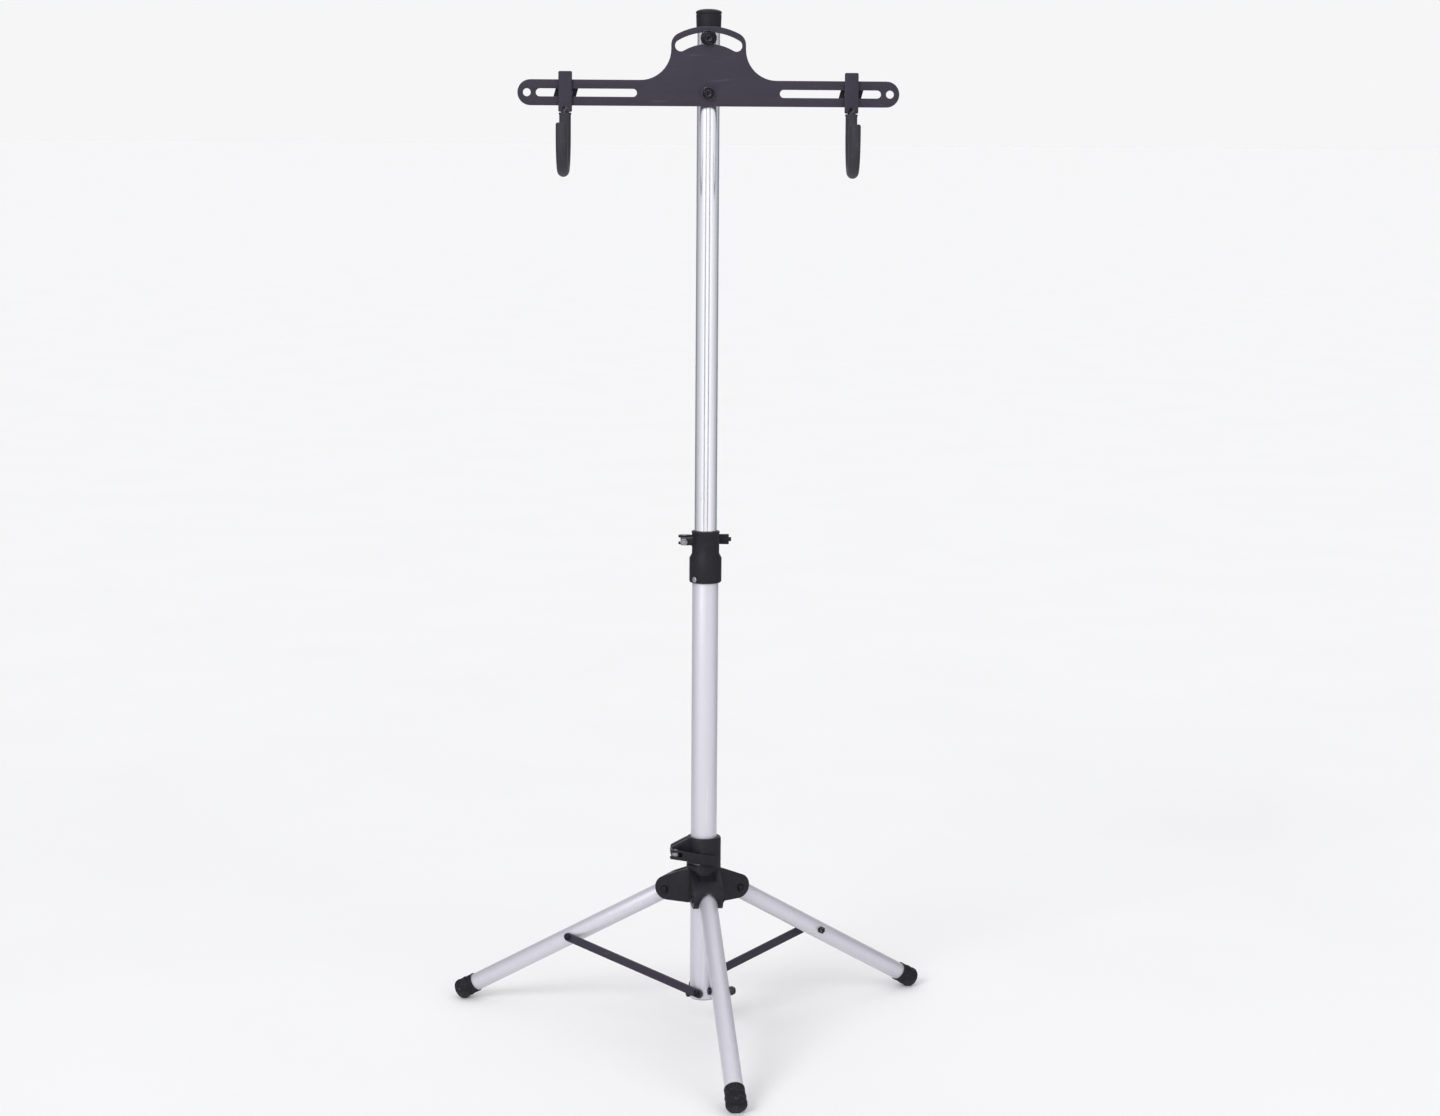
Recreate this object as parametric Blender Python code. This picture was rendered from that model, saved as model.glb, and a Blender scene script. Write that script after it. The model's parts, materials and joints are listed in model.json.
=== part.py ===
"""A folding bike repair stand: a telescoping post on a three-legged base, with a tilting
plate on top that carries two sliding hooks for a bike's top tube.

Metres, +Z up. The origin is the centre of the post's lower end face, on the post's axis. The
plate's arms lie along X and its front faces -Y. The tripod is turned a little about the post.
"""

import math

import bmesh
import bpy
from mathutils import Matrix, Vector

# ---- Driving dimensions ----

PLAY = 0.0003  # gap between pieces that touch
FLOOR = -0.0394  # the feet's ground flats, below the post's end

POST_RADIUS, POST_WALL, POST_LOW, POST_HIGH = 0.016, 0.0015, 0.0015, 0.5506
MAST_RADIUS, MAST_WALL, MAST_LOW, MAST_HIGH = 0.014, 0.0015, 0.4306, 1.2080
MAST_PLUG_LOW = 0.4200
CAP_LOW, CAP_SHOULDER, CAP_TOP = 1.1895, 1.2111, 1.2144

PIVOT_HEIGHT = 1.1139  # the head plate's tilting axis
ARC_RADIUS, ARC_HALF_ANGLE, ARC_HALF_WIDTH = 0.0654, math.radians(30.5), 0.0069
PLATE_BACK, PLATE_THICK = 0.0162, 0.0045
PLATE_FRONT = PLATE_BACK + PLATE_THICK
ARM_REACH, ARM_HALF_HEIGHT = 0.2280, 0.01545
ARM_HOLE_RADIUS, ARM_HOLE_AT = 0.00475, 0.2168
ARM_SLOT_IN, ARM_SLOT_OUT = 0.09005, 0.20145
HUMP_RADIUS, HUMP_CORNER, HUMP_SIDE, HUMP_FILLET = 0.0795, 0.0147, 0.0446, 0.0367

BIG_BOLT_RADIUS, BIG_HOLE_RADIUS = 0.0040, 0.0043  # M8, with clearance
SMALL_BOLT_RADIUS, SMALL_HOLE_RADIUS = 0.0025, 0.0028  # M5, with clearance
PIN_RADIUS, PIN_HOLE_RADIUS = 0.0030, 0.0033  # leg pivots
POST_NUT_HALF_WIDTH, NUT_HALF_WIDTH, BIG_NUT_HALF_WIDTH = 0.0035, 0.0040, 0.0065  # to a flat

HOOK_AT = 0.1708  # from the post's axis to each hook's stud
STRAP_HALF_WIDTH, STRAP_TOP, STRAP_LOW, STRAP_THICK = 0.0082, 0.0253, -0.0230, 0.0045
STRAP_CORNER, STRAP_CHAMFER = 0.0015, 0.0022
STRAP_BACK = PLATE_FRONT + PLAY
ROD_RADIUS, SLEEVE_RADIUS = 0.0050, 0.0070
ROD_BACK, BEND_RADIUS, BEND_CENTRE, ROD_TIP = 0.0262, 0.0440, -0.0486, -0.0392
ROD_ROOT, ROD_FULL = -0.0155, -0.0225  # where the bar leaves the strap, and where it is round
SLEEVE_START = -0.0238
KNOB_HALF_WIDTH, KNOB_CORNER, KNOB_TURN = 0.0130, 0.0158, math.radians(30)

COLLAR_LOW, COLLAR_HIGH, COLLAR_TAPER_LOW, COLLAR_TAPER_HIGH = 0.5216, 0.5848, 0.5521, 0.5575
COLLAR_RADIUS, COLLAR_NECK_RADIUS = 0.0197, 0.01675
COLLAR_CLAMP_HEIGHT, COLLAR_PIN_X = 0.5720, -0.0264

TRIPOD_TURN = math.radians(6.6)
LEG_TURNS = {"front": -90, "left": 150, "right": 30}  # degrees in the tripod's own frame
LEG_PIVOT_RADIUS, LEG_PIVOT_HEIGHT = 0.0452, 0.1361
LEG_ANGLE, LEG_LENGTH = math.radians(29.43), 0.3396  # below level, and pivot to foot's end
LEG_RADIUS, LEG_WALL, LEG_TOP = 0.0110, 0.0013, -0.0085
FOOT_MOUTH, FOOT_SEAT = 0.0280, 0.0040  # back from the foot's end
HUB_TRAVEL = 0.2085  # from standing to fully folded
POST_BOLT_HEIGHTS = {"front": 0.0052, "left": 0.0097, "right": 0.0142}
POST_BOLT_RADIUS, POST_HOLE_RADIUS = 0.0020, 0.0023  # M4, so that the three cross in the post
BRACE_HALF_WIDTH, BRACE_THICK, BRACE_END = 0.00525, 0.0024, 0.0078
BRACE_POST_SIDE, BRACE_LEG_SIDE = 0.0178, 0.0139  # bar's middle, beside the post and the leg

HUB_LOW, HUB_HIGH, HUB_RADIUS = 0.1235, 0.2046, 0.0212
YOKE_HALF_WIDTH, YOKE_GAP = 0.0180, 0.0114
YOKE_END_RADIUS, YOKE_END_AT, YOKE_END_RISE = 0.0150, 0.0425, 0.0030
YOKE_SLOPE = math.atan(0.4)
YOKE_CHEEK_FROM, RECESS_DEPTH, RECESS_END = 0.0110, 0.0040, 0.0385  # the dip between cheeks
SWEEP_CLEARANCE = 0.0007  # round the leg's upper end as it turns
THROUGH = 0.03  # half the length of a cutter that goes right through
HUB_CLAMP_HEIGHT, HUB_PIN_X = 0.1866, -0.0365
CAM_RADIUS, FORK_GAP, LEVER_PIN_RADIUS = 0.0070, 0.0028, 0.0020


# ---- Finishes ----


def finish(name, colour, roughness, metallic):
    made = bpy.data.materials.new(name)
    made.use_nodes = True
    shader = made.node_tree.nodes["Principled BSDF"]
    shader.inputs["Base Color"].default_value = (*colour, 1)
    shader.inputs["Roughness"].default_value = roughness
    shader.inputs["Metallic"].default_value = metallic
    return made


for leftover in list(bpy.data.objects):
    bpy.data.objects.remove(leftover, do_unlink=True)

SILVER_PAINT = finish("silver_paint", (0.66, 0.65, 0.71), 0.38, 0.35)
BRIGHT_ALUMINIUM = finish("bright_aluminium", (0.78, 0.78, 0.82), 0.22, 1.0)
BLACK_STEEL = finish("black_steel", (0.055, 0.050, 0.070), 0.45, 0.2)
BLACK_PLASTIC = finish("black_plastic", (0.030, 0.029, 0.038), 0.50, 0.0)
RUBBER = finish("rubber", (0.020, 0.020, 0.024), 0.75, 0.0)
DARK_ZINC = finish("dark_zinc", (0.070, 0.068, 0.085), 0.35, 0.9)
GREY_PLASTIC = finish("grey_plastic", (0.50, 0.50, 0.55), 0.50, 0.0)
BRIGHT_STEEL = finish("bright_steel", (0.60, 0.60, 0.62), 0.30, 1.0)


# ---- Placing ----


def turn(degrees, axis):
    return Matrix.Rotation(math.radians(degrees), 4, axis)


def move(x=0.0, y=0.0, z=0.0):
    return Matrix.Translation((x, y, z))


FORWARD = turn(90, "X")  # a solid made along Z comes to lie along -Y
SIDEWAYS = turn(-90, "X")  # along +Y
ALONG_X = turn(90, "Y")  # along +X


def joint_axis(name, place, parent=None):
    """An empty on a joint's axis, which the pieces that turn or slide with it hang from."""
    made = bpy.data.objects.new(name, None)
    bpy.context.scene.collection.objects.link(made)
    made.parent = parent
    made.matrix_local = place
    return made


def piece(name, mesh, material, parent=None, place=Matrix()):
    """One sub-part, as an object with its own material."""
    data = bpy.data.meshes.new(name)
    mesh.to_mesh(data)
    mesh.free()
    data.materials.append(material)
    data.shade_smooth()
    data.set_sharp_from_angle(angle=math.radians(35))
    made = bpy.data.objects.new(name, data)
    bpy.context.scene.collection.objects.link(made)
    made.parent = parent
    made.matrix_local = place
    return made


def combine(target, operation, tools):
    """Booleans on target by each tool mesh, placed in target's own frame."""
    for number, (mesh, place) in enumerate(tools):
        name = f"{target.name}_{operation.lower()}_{number}"
        tool = piece(name, mesh, target.data.materials[0], target, place)
        tool.hide_render = True
        tool.display_type = "WIRE"
        step = target.modifiers.new(name, "BOOLEAN")
        step.operation = operation
        step.object = tool


# ---- Shapes ----


def ring(mesh, radius, height, sides, flats=0, corner=None):
    """A ring of vertices about Z. flats makes it a polygon with that many sides, radius to each
    flat, whose corners are cut back to the radius corner."""
    points = []
    for number in range(sides):
        angle = 2 * math.pi * number / sides
        reach = radius
        if flats:
            span = 2 * math.pi / flats
            reach = radius / math.cos(angle % span - span / 2)
            reach = min(reach, corner or reach)
        points.append(mesh.verts.new((reach * math.cos(angle), reach * math.sin(angle), height)))
    return points


def bridge(mesh, low, high):
    """Quads between two rings, or triangles between a ring and a pole."""
    count = max(len(low), len(high))
    for number in range(count):
        after = (number + 1) % count
        corners = []
        for vertex in (
            low[number % len(low)],
            low[after % len(low)],
            high[after % len(high)],
            high[number % len(high)],
        ):
            if vertex not in corners:
                corners.append(vertex)
        mesh.faces.new(corners)


def turned(profile, sides=20):
    """A solid about Z from (radius, height) points, and (radius, height, flats, corner) where a
    section isn't round. A profile that starts on the axis ends there; any other is closed."""
    mesh = bmesh.new()
    rings = []
    for radius, height, *section in profile:
        if radius == 0:
            rings.append([mesh.verts.new((0, 0, height))])
        else:
            rings.append(ring(mesh, radius, height, sides, *section))
    for low, high in zip(rings, rings[1:]):
        if len(low) + len(high) > 2:
            bridge(mesh, low, high)
    if len(rings[0]) > 1:
        bridge(mesh, rings[-1], rings[0])
    bmesh.ops.recalc_face_normals(mesh, faces=mesh.faces)
    return mesh


def rod(radius, low, high, sides=20):
    return turned([(0, low), (radius, low), (radius, high), (0, high)], sides)


def pipe(outer, inner, low, high, sides=32):
    return turned([(outer, low), (outer, high), (inner, high), (inner, low)], sides)


def arc(centre, radius, start, end, steps):
    """Points along an arc, in degrees, both ends included."""
    angles = [math.radians(start + (end - start) * n / steps) for n in range(steps + 1)]
    return [
        (centre[0] + radius * math.cos(a), centre[1] + radius * math.sin(a)) for a in angles
    ]


def prism(outline, low, high, holes=()):
    """A flat outline with holes, given thickness along Z."""
    mesh = bmesh.new()
    edges = []
    for loop in (outline, *holes):
        corners = [mesh.verts.new((x, y, low)) for x, y in loop]
        edges += [mesh.edges.new(pair) for pair in zip(corners, corners[1:] + corners[:1])]
    bmesh.ops.triangle_fill(mesh, use_beauty=True, use_dissolve=False, edges=edges)
    raised = bmesh.ops.extrude_face_region(mesh, geom=mesh.faces[:])
    tops = [item for item in raised["geom"] if isinstance(item, bmesh.types.BMVert)]
    bmesh.ops.translate(mesh, vec=(0, 0, high - low), verts=tops)
    bmesh.ops.recalc_face_normals(mesh, faces=mesh.faces)
    return mesh


def block(x, y, z):
    """A box from its (low, high) along each axis."""
    (x0, x1), (y0, y1), (z0, z1) = x, y, z
    return prism([(x0, y0), (x1, y0), (x1, y1), (x0, y1)], z0, z1)


def circle(centre, radius, sides=20):
    return arc(centre, radius, 0, 360 - 360 / sides, sides - 1)


def bent(path, radii, sides=12, hollow=()):
    """A round bar along a path in the YZ plane, tapering by radii, with flat or pointed ends.
    hollow gives the radii of a bore open at the path's start and closed at its end."""

    def skin(path, radii):
        rings = []
        for number, (y, z) in enumerate(path):
            before, after = path[max(number - 1, 0)], path[min(number + 1, len(path) - 1)]
            along = Vector((0, after[0] - before[0], after[1] - before[1])).normalized()
            across = Vector((0, -along.z, along.y))
            middle = Vector((0, y, z))
            if radii[number] == 0:
                rings.append([mesh.verts.new(middle)])
                continue
            turns = [2 * math.pi * k / sides for k in range(sides)]
            offsets = [Vector((math.cos(a), 0, 0)) + math.sin(a) * across for a in turns]
            rings.append([mesh.verts.new(middle + radii[number] * o) for o in offsets])
        for low, high in zip(rings, rings[1:]):
            bridge(mesh, low, high)
        return rings

    mesh = bmesh.new()
    outer = skin(path, radii)
    if hollow:
        inner = skin(*hollow)
        bridge(mesh, outer[0], inner[0])
    else:
        mesh.faces.new(outer[0])
        mesh.faces.new(outer[-1])
    bmesh.ops.recalc_face_normals(mesh, faces=mesh.faces)
    return mesh


# ---- Post: the fixed lower tube, its end plug and its bolts ----

tripod_place = Matrix.Rotation(TRIPOD_TURN, 4, "Z")
tripod = joint_axis("tripod", tripod_place)


def leg_direction(side):
    return turn(LEG_TURNS[side], "Z")


RIVET_TURN, RIVET_HEIGHT = -132.5, 0.5266  # degrees about Z from +X
rivet_place = turn(RIVET_TURN, "Z") @ move(z=RIVET_HEIGHT) @ ALONG_X


def post_bolt_holes():
    """Cutters for the three brace bolts, which cross one above another in the post."""
    return [
        (
            rod(POST_HOLE_RADIUS, -THROUGH, THROUGH, 12),
            tripod_place @ leg_direction(side) @ move(z=height) @ SIDEWAYS,
        )
        for side, height in POST_BOLT_HEIGHTS.items()
    ]


lower_tube = piece(
    "lower_tube",
    pipe(POST_RADIUS, POST_RADIUS - POST_WALL, POST_LOW, POST_HIGH),
    SILVER_PAINT,
)
rivet_hole = (rod(SMALL_HOLE_RADIUS, 0.010, 0.030, 16), rivet_place)
combine(lower_tube, "DIFFERENCE", [*post_bolt_holes(), rivet_hole])

PLUG_RADIUS, PLUG_BORE, PLUG_HIGH = 0.0142, 0.0117, 0.0212
post_end_plug = piece(
    "post_end_plug",
    turned(
        [
            (0, 0),
            (POST_RADIUS - 0.0016, 0),
            (POST_RADIUS - 0.0007, 0.0004),
            (POST_RADIUS - 0.0004, POST_LOW - PLAY),
            (PLUG_RADIUS, POST_LOW - PLAY),
            (PLUG_RADIUS, PLUG_HIGH),
            (PLUG_BORE, PLUG_HIGH),
            (PLUG_BORE, POST_LOW + 0.0006),
            (0, POST_LOW + 0.0006),
        ],
        36,
    ),
    GREY_PLASTIC,
)
combine(post_end_plug, "DIFFERENCE", post_bolt_holes())

BRACE_OUTER = BRACE_POST_SIDE + BRACE_THICK / 2 + PLAY
NUT_FACE = POST_RADIUS + 0.0004
NUT_HEIGHT = 0.0040
for side, height in POST_BOLT_HEIGHTS.items():
    bolt_place = leg_direction(side) @ move(z=height)
    post_bolt_axis = joint_axis(f"post_bolt_axis_{side}", bolt_place, tripod)
    piece(
        f"post_bolt_{side}",
        turned(
            [
                (0, -NUT_FACE - NUT_HEIGHT - 0.0010),
                (POST_BOLT_RADIUS, -NUT_FACE - NUT_HEIGHT - 0.0010),
                (POST_BOLT_RADIUS, BRACE_OUTER),
                (0.0046, BRACE_OUTER),
                (0.0044, BRACE_OUTER + 0.0012),
                (0.0030, BRACE_OUTER + 0.0024),
                (0, BRACE_OUTER + 0.0027),
            ],
            16,
        ),
        DARK_ZINC,
        post_bolt_axis,
        SIDEWAYS,
    )
    piece(
        f"post_nut_{side}",
        turned(
            [
                (POST_HOLE_RADIUS, -NUT_FACE - NUT_HEIGHT),
                (POST_NUT_HALF_WIDTH, -NUT_FACE - NUT_HEIGHT, 6),
                (POST_NUT_HALF_WIDTH, -NUT_FACE, 6),
                (POST_HOLE_RADIUS, -NUT_FACE),
            ],
            12,
        ),
        DARK_ZINC,
        post_bolt_axis,
        SIDEWAYS,
    )

# ---- Height collar: moulded clamp on the post's top, which holds the mast ----

EAR_HALF_THICK, SPLIT_HALF_WIDTH = 0.0075, 0.00125
collar = piece(
    "height_collar",
    turned(
        [
            (POST_RADIUS + PLAY, COLLAR_LOW),
            (COLLAR_RADIUS - 0.0018, COLLAR_LOW),
            (COLLAR_RADIUS - 0.0004, COLLAR_LOW + 0.0008),
            (COLLAR_RADIUS, COLLAR_LOW + 0.0026),
            (COLLAR_RADIUS, COLLAR_TAPER_LOW),
            (COLLAR_NECK_RADIUS, COLLAR_TAPER_HIGH),
            (COLLAR_NECK_RADIUS, COLLAR_HIGH - 0.0030),
            (COLLAR_NECK_RADIUS + 0.0005, COLLAR_HIGH - 0.0022),
            (COLLAR_NECK_RADIUS + 0.0005, COLLAR_HIGH - 0.0006),
            (COLLAR_NECK_RADIUS, COLLAR_HIGH),
            (MAST_RADIUS + PLAY, COLLAR_HIGH),
            (MAST_RADIUS + PLAY, POST_HIGH + PLAY),
            (POST_RADIUS + PLAY, POST_HIGH + PLAY),
        ],
        36,
    ),
    BLACK_PLASTIC,
)
COLLAR_EAR_END, COLLAR_EAR_HALF_HEIGHT = -0.0305, 0.0043
collar_ears = prism(
    [
        (-0.0150, -COLLAR_EAR_HALF_HEIGHT - 0.0020),
        (-0.0180, -COLLAR_EAR_HALF_HEIGHT),
        (COLLAR_EAR_END + 0.0010, -COLLAR_EAR_HALF_HEIGHT),
        (COLLAR_EAR_END, -COLLAR_EAR_HALF_HEIGHT + 0.0015),
        (COLLAR_EAR_END, COLLAR_EAR_HALF_HEIGHT - 0.0015),
        (COLLAR_EAR_END + 0.0010, COLLAR_EAR_HALF_HEIGHT),
        (-0.0180, COLLAR_EAR_HALF_HEIGHT),
        (-0.0150, COLLAR_EAR_HALF_HEIGHT + 0.0020),
    ],
    -EAR_HALF_THICK,
    EAR_HALF_THICK,
)
combine(collar, "UNION", [(collar_ears, move(z=COLLAR_CLAMP_HEIGHT) @ FORWARD)])
slot_low, slot_high = COLLAR_TAPER_HIGH + 0.0012, COLLAR_TAPER_HIGH + 0.0028
split_width = (-SPLIT_HALF_WIDTH, SPLIT_HALF_WIDTH)
collar_split = block((-0.04, -0.0135), split_width, (slot_low, COLLAR_HIGH + 0.01))
collar_slot = block((-0.04, -0.0020), (-SPLIT_HALF_WIDTH, 0.04), (slot_low, slot_high))
collar_bore = rod(MAST_RADIUS + PLAY, slot_low - 0.003, COLLAR_HIGH + 0.01, 36)
collar_bolt_place = move(COLLAR_PIN_X, 0, COLLAR_CLAMP_HEIGHT) @ FORWARD
combine(
    collar,
    "DIFFERENCE",
    [
        (collar_split, Matrix()),
        (collar_slot, Matrix()),
        (collar_bore, Matrix()),
        (rod(SMALL_HOLE_RADIUS, -THROUGH, THROUGH, 16), collar_bolt_place),
        (rod(SMALL_HOLE_RADIUS, 0.010, 0.030, 16), rivet_place),
    ],
)
piece(
    "collar_rivet",
    turned(
        [
            (0, MAST_RADIUS + 0.0007),
            (SMALL_BOLT_RADIUS, MAST_RADIUS + 0.0007),
            (SMALL_BOLT_RADIUS, COLLAR_RADIUS + PLAY),
            (0.0036, COLLAR_RADIUS + PLAY),
            (0.0026, COLLAR_RADIUS + 0.0012),
            (0, COLLAR_RADIUS + 0.0016),
        ],
        16,
    ),
    BRIGHT_STEEL,
    None,
    rivet_place,
)

# ---- Quick-release clamps: eye bolt, nut, pin and cam lever, on the collar and on the hub ----

EYE_RADIUS, EYE_HALF_HEIGHT, SHANK_END = 0.0044, 0.0025, 0.0135


def clamp_fastening(owner, parent, pin_x, pin_y, height, ear_half_thick, facing):
    """The eye bolt through both ears, its pin and nut. facing is +1 where the lever is behind."""
    middle = move(pin_x, pin_y, height)
    bolt = piece(
        f"{owner}_clamp_bolt",
        pipe(EYE_RADIUS, LEVER_PIN_RADIUS + PLAY, -EYE_HALF_HEIGHT, EYE_HALF_HEIGHT, 24),
        BRIGHT_STEEL,
        parent,
        middle,
    )
    start, end = -facing * 0.0034, -facing * (abs(pin_y) + SHANK_END)
    shank = rod(SMALL_BOLT_RADIUS - 0.0001, min(start, end), max(start, end), 20)
    combine(bolt, "UNION", [(shank, SIDEWAYS)])
    piece(
        f"{owner}_lever_pin",
        rod(LEVER_PIN_RADIUS, -0.0058, 0.0058, 20),
        BRIGHT_STEEL,
        parent,
        middle,
    )
    nut_low = ear_half_thick + PLAY
    piece(
        f"{owner}_clamp_nut",
        turned(
            [
                (SMALL_HOLE_RADIUS, nut_low),
                (NUT_HALF_WIDTH, nut_low, 6),
                (NUT_HALF_WIDTH, nut_low + NUT_HEIGHT, 6),
                (SMALL_HOLE_RADIUS, nut_low + NUT_HEIGHT),
            ],
            12,
        ),
        BRIGHT_STEEL,
        parent,
        move(pin_x, 0, height) @ (FORWARD if facing > 0 else SIDEWAYS),
    )


def cam_lever(name, parent, pin, course, fall, end_half_height):
    """A forked cam lever. course lists (x, y, half width) from the pin on; the handle's middle
    falls by fall from pin to tip, and its half height grows to end_half_height."""
    head_half_height = 0.0056
    last = course[-1][0]
    left, right = [], []
    for number, (x, y, half) in enumerate(course):
        before, after = course[max(number - 1, 0)], course[min(number + 1, len(course) - 1)]
        along = Vector((after[0] - before[0], after[1] - before[1])).normalized()
        left.append((x - along.y * half, y + along.x * half))
        right.append((x + along.y * half, y - along.x * half))
    start = math.degrees(math.atan2(left[0][1], left[0][0]))
    head = arc((0, 0), CAM_RADIUS, start, start + 180, 14)
    outline = head + right[1:] + left[:0:-1]
    mesh = prism(outline, -1, 1, [circle((0, 0), LEVER_PIN_RADIUS + PLAY, 16)])
    for vertex in mesh.verts:
        share = min(max(vertex.co.x / last, 0), 1)
        half_height = head_half_height + share * (end_half_height - head_half_height)
        vertex.co.z = vertex.co.z * half_height - share * fall
    made = piece(name, mesh, BLACK_PLASTIC, parent, pin)
    fork = block((-0.02, 0.0074), (-0.02, 0.02), (-FORK_GAP, FORK_GAP))
    combine(made, "DIFFERENCE", [(fork, Matrix())])
    return made


collar_pin_y = EAR_HALF_THICK + 0.0006 + CAM_RADIUS
clamp_fastening(
    "collar", None, COLLAR_PIN_X, collar_pin_y, COLLAR_CLAMP_HEIGHT, EAR_HALF_THICK, 1
)
collar_course = [(0, 0, CAM_RADIUS), (0.0095, 0.0014, 0.0030)]
collar_sweep = arc((-COLLAR_PIN_X, -collar_pin_y), 0.0212, 128, 96, 5)
collar_course += [(x, y, 0.0024) for x, y in collar_sweep]
collar_course += [(0.0375, 0.0062, 0.0026), (0.0480, 0.0062, 0.0030), (0.0549, 0.0062, 0.0026)]
collar_lever = cam_lever(
    "collar_cam_lever",
    None,
    move(COLLAR_PIN_X, collar_pin_y, COLLAR_CLAMP_HEIGHT),
    collar_course,
    0.0,
    0.0061,
)
combine(
    collar_lever,
    "UNION",
    [(block((0.0530, 0.0578), (0.0042, 0.0082), (-0.0024, 0.0024)), Matrix())],
)

# ---- Mast: the upper tube that slides and turns in the collar ----

mast_axis = joint_axis("mast_axis", move())
ARC_BOLT_HEIGHT = PIVOT_HEIGHT + ARC_RADIUS
upper_tube = piece(
    "upper_tube",
    pipe(MAST_RADIUS, MAST_RADIUS - MAST_WALL, MAST_LOW, MAST_HIGH),
    BRIGHT_ALUMINIUM,
    mast_axis,
)
combine(
    upper_tube,
    "DIFFERENCE",
    [
        (rod(BIG_HOLE_RADIUS, -THROUGH, THROUGH, 20), move(z=height) @ FORWARD)
        for height in (PIVOT_HEIGHT, ARC_BOLT_HEIGHT)
    ],
)
piece(
    "mast_end_plug",
    turned(
        [
            (0, MAST_PLUG_LOW),
            (MAST_RADIUS - 0.0012, MAST_PLUG_LOW),
            (MAST_RADIUS + 0.0002, MAST_PLUG_LOW + 0.0012),
            (MAST_RADIUS + 0.0002, MAST_LOW - PLAY),
            (MAST_RADIUS - MAST_WALL - PLAY, MAST_LOW - PLAY),
            (MAST_RADIUS - MAST_WALL - PLAY, MAST_LOW + 0.0140),
            (0, MAST_LOW + 0.0140),
        ]
    ),
    BLACK_PLASTIC,
    mast_axis,
)
piece(
    "top_cap",
    turned(
        [
            (0, CAP_TOP),
            (MAST_RADIUS * 0.45, CAP_TOP - 0.0003),
            (MAST_RADIUS * 0.82, CAP_SHOULDER + 0.0012),
            (MAST_RADIUS + 0.0012, CAP_SHOULDER),
            (MAST_RADIUS + 0.0016, CAP_SHOULDER - 0.0004),
            (MAST_RADIUS + 0.0007, CAP_LOW),
            (MAST_RADIUS + PLAY, CAP_LOW),
            (MAST_RADIUS + PLAY, MAST_HIGH + PLAY),
            (0, MAST_HIGH + PLAY),
        ],
        36,
    ),
    BLACK_PLASTIC,
    mast_axis,
)

# ---- Head: the pivot bolt, the arc bolt and their saddles, on the mast ----

SADDLE_RADIUS, SADDLE_FRONT = 0.0095, PLATE_BACK - PLAY


def saddle(name, height, boss_radius=0):
    """A moulded spacer, hollowed to the tube's curve, which the plate bears on."""
    profile = [
        (BIG_HOLE_RADIUS, 0.0100),
        (SADDLE_RADIUS, 0.0100),
        (SADDLE_RADIUS, SADDLE_FRONT),
        (BIG_HOLE_RADIUS, SADDLE_FRONT),
    ]
    if boss_radius:
        boss_end = PLATE_FRONT - 0.0002
        profile[3:] = [
            (boss_radius, SADDLE_FRONT),
            (boss_radius, boss_end),
            (BIG_HOLE_RADIUS, boss_end),
        ]
    made = piece(name, turned(profile), BLACK_PLASTIC, mast_axis, move(z=height) @ FORWARD)
    combine(made, "DIFFERENCE", [(rod(MAST_RADIUS + PLAY, -THROUGH, THROUGH, 36), SIDEWAYS)])


saddle("pivot_saddle", PIVOT_HEIGHT)
saddle("arc_saddle", ARC_BOLT_HEIGHT, 0.0064)


def plate_fixing(name, height, washer_radius, flange_radius, head_radius, head_high):
    """A socket-headed bolt through the plate and the tube, with its washer and nut."""
    place = move(z=height) @ FORWARD
    washer_low = PLATE_FRONT + PLAY
    washer_high = washer_low + 0.0016
    seat = washer_high + PLAY
    top = seat + head_high
    nut_low = MAST_RADIUS + PLAY
    nut_high = nut_low + 0.0065
    piece(
        f"{name}_washer",
        pipe(washer_radius, BIG_HOLE_RADIUS, washer_low, washer_high, 24),
        DARK_ZINC,
        mast_axis,
        place,
    )
    piece(
        f"{name}_bolt",
        turned(
            [
                (0, -nut_high - 0.0016),
                (BIG_BOLT_RADIUS - 0.0006, -nut_high - 0.0016),
                (BIG_BOLT_RADIUS, -nut_high - 0.0010),
                (BIG_BOLT_RADIUS, seat),
                (flange_radius, seat),
                (flange_radius, seat + 0.0012),
                (head_radius, seat + 0.0020),
                (head_radius, top - 0.0008),
                (head_radius - 0.0010, top),
                (0.0030, top, 6),
                (0.0030, top - 0.0025, 6),
                (0, top - 0.0030),
            ],
            24,
        ),
        DARK_ZINC,
        mast_axis,
        place,
    )
    piece(
        f"{name}_nut",
        turned(
            [
                (BIG_HOLE_RADIUS, -nut_high),
                (BIG_NUT_HALF_WIDTH, -nut_high, 6, 0.0071),
                (BIG_NUT_HALF_WIDTH, -nut_low, 6, 0.0071),
                (BIG_HOLE_RADIUS, -nut_low),
            ],
            36,
        ),
        DARK_ZINC,
        mast_axis,
        place,
    )


plate_fixing("pivot", PIVOT_HEIGHT, 0.0078, 0.0066, 0.0065, 0.0048)
plate_fixing("arc", ARC_BOLT_HEIGHT, 0.0099, 0.0084, 0.0064, 0.0048)

# ---- Head plate: flat steel, with slots for the hooks and an arc slot for its tilt ----

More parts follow.
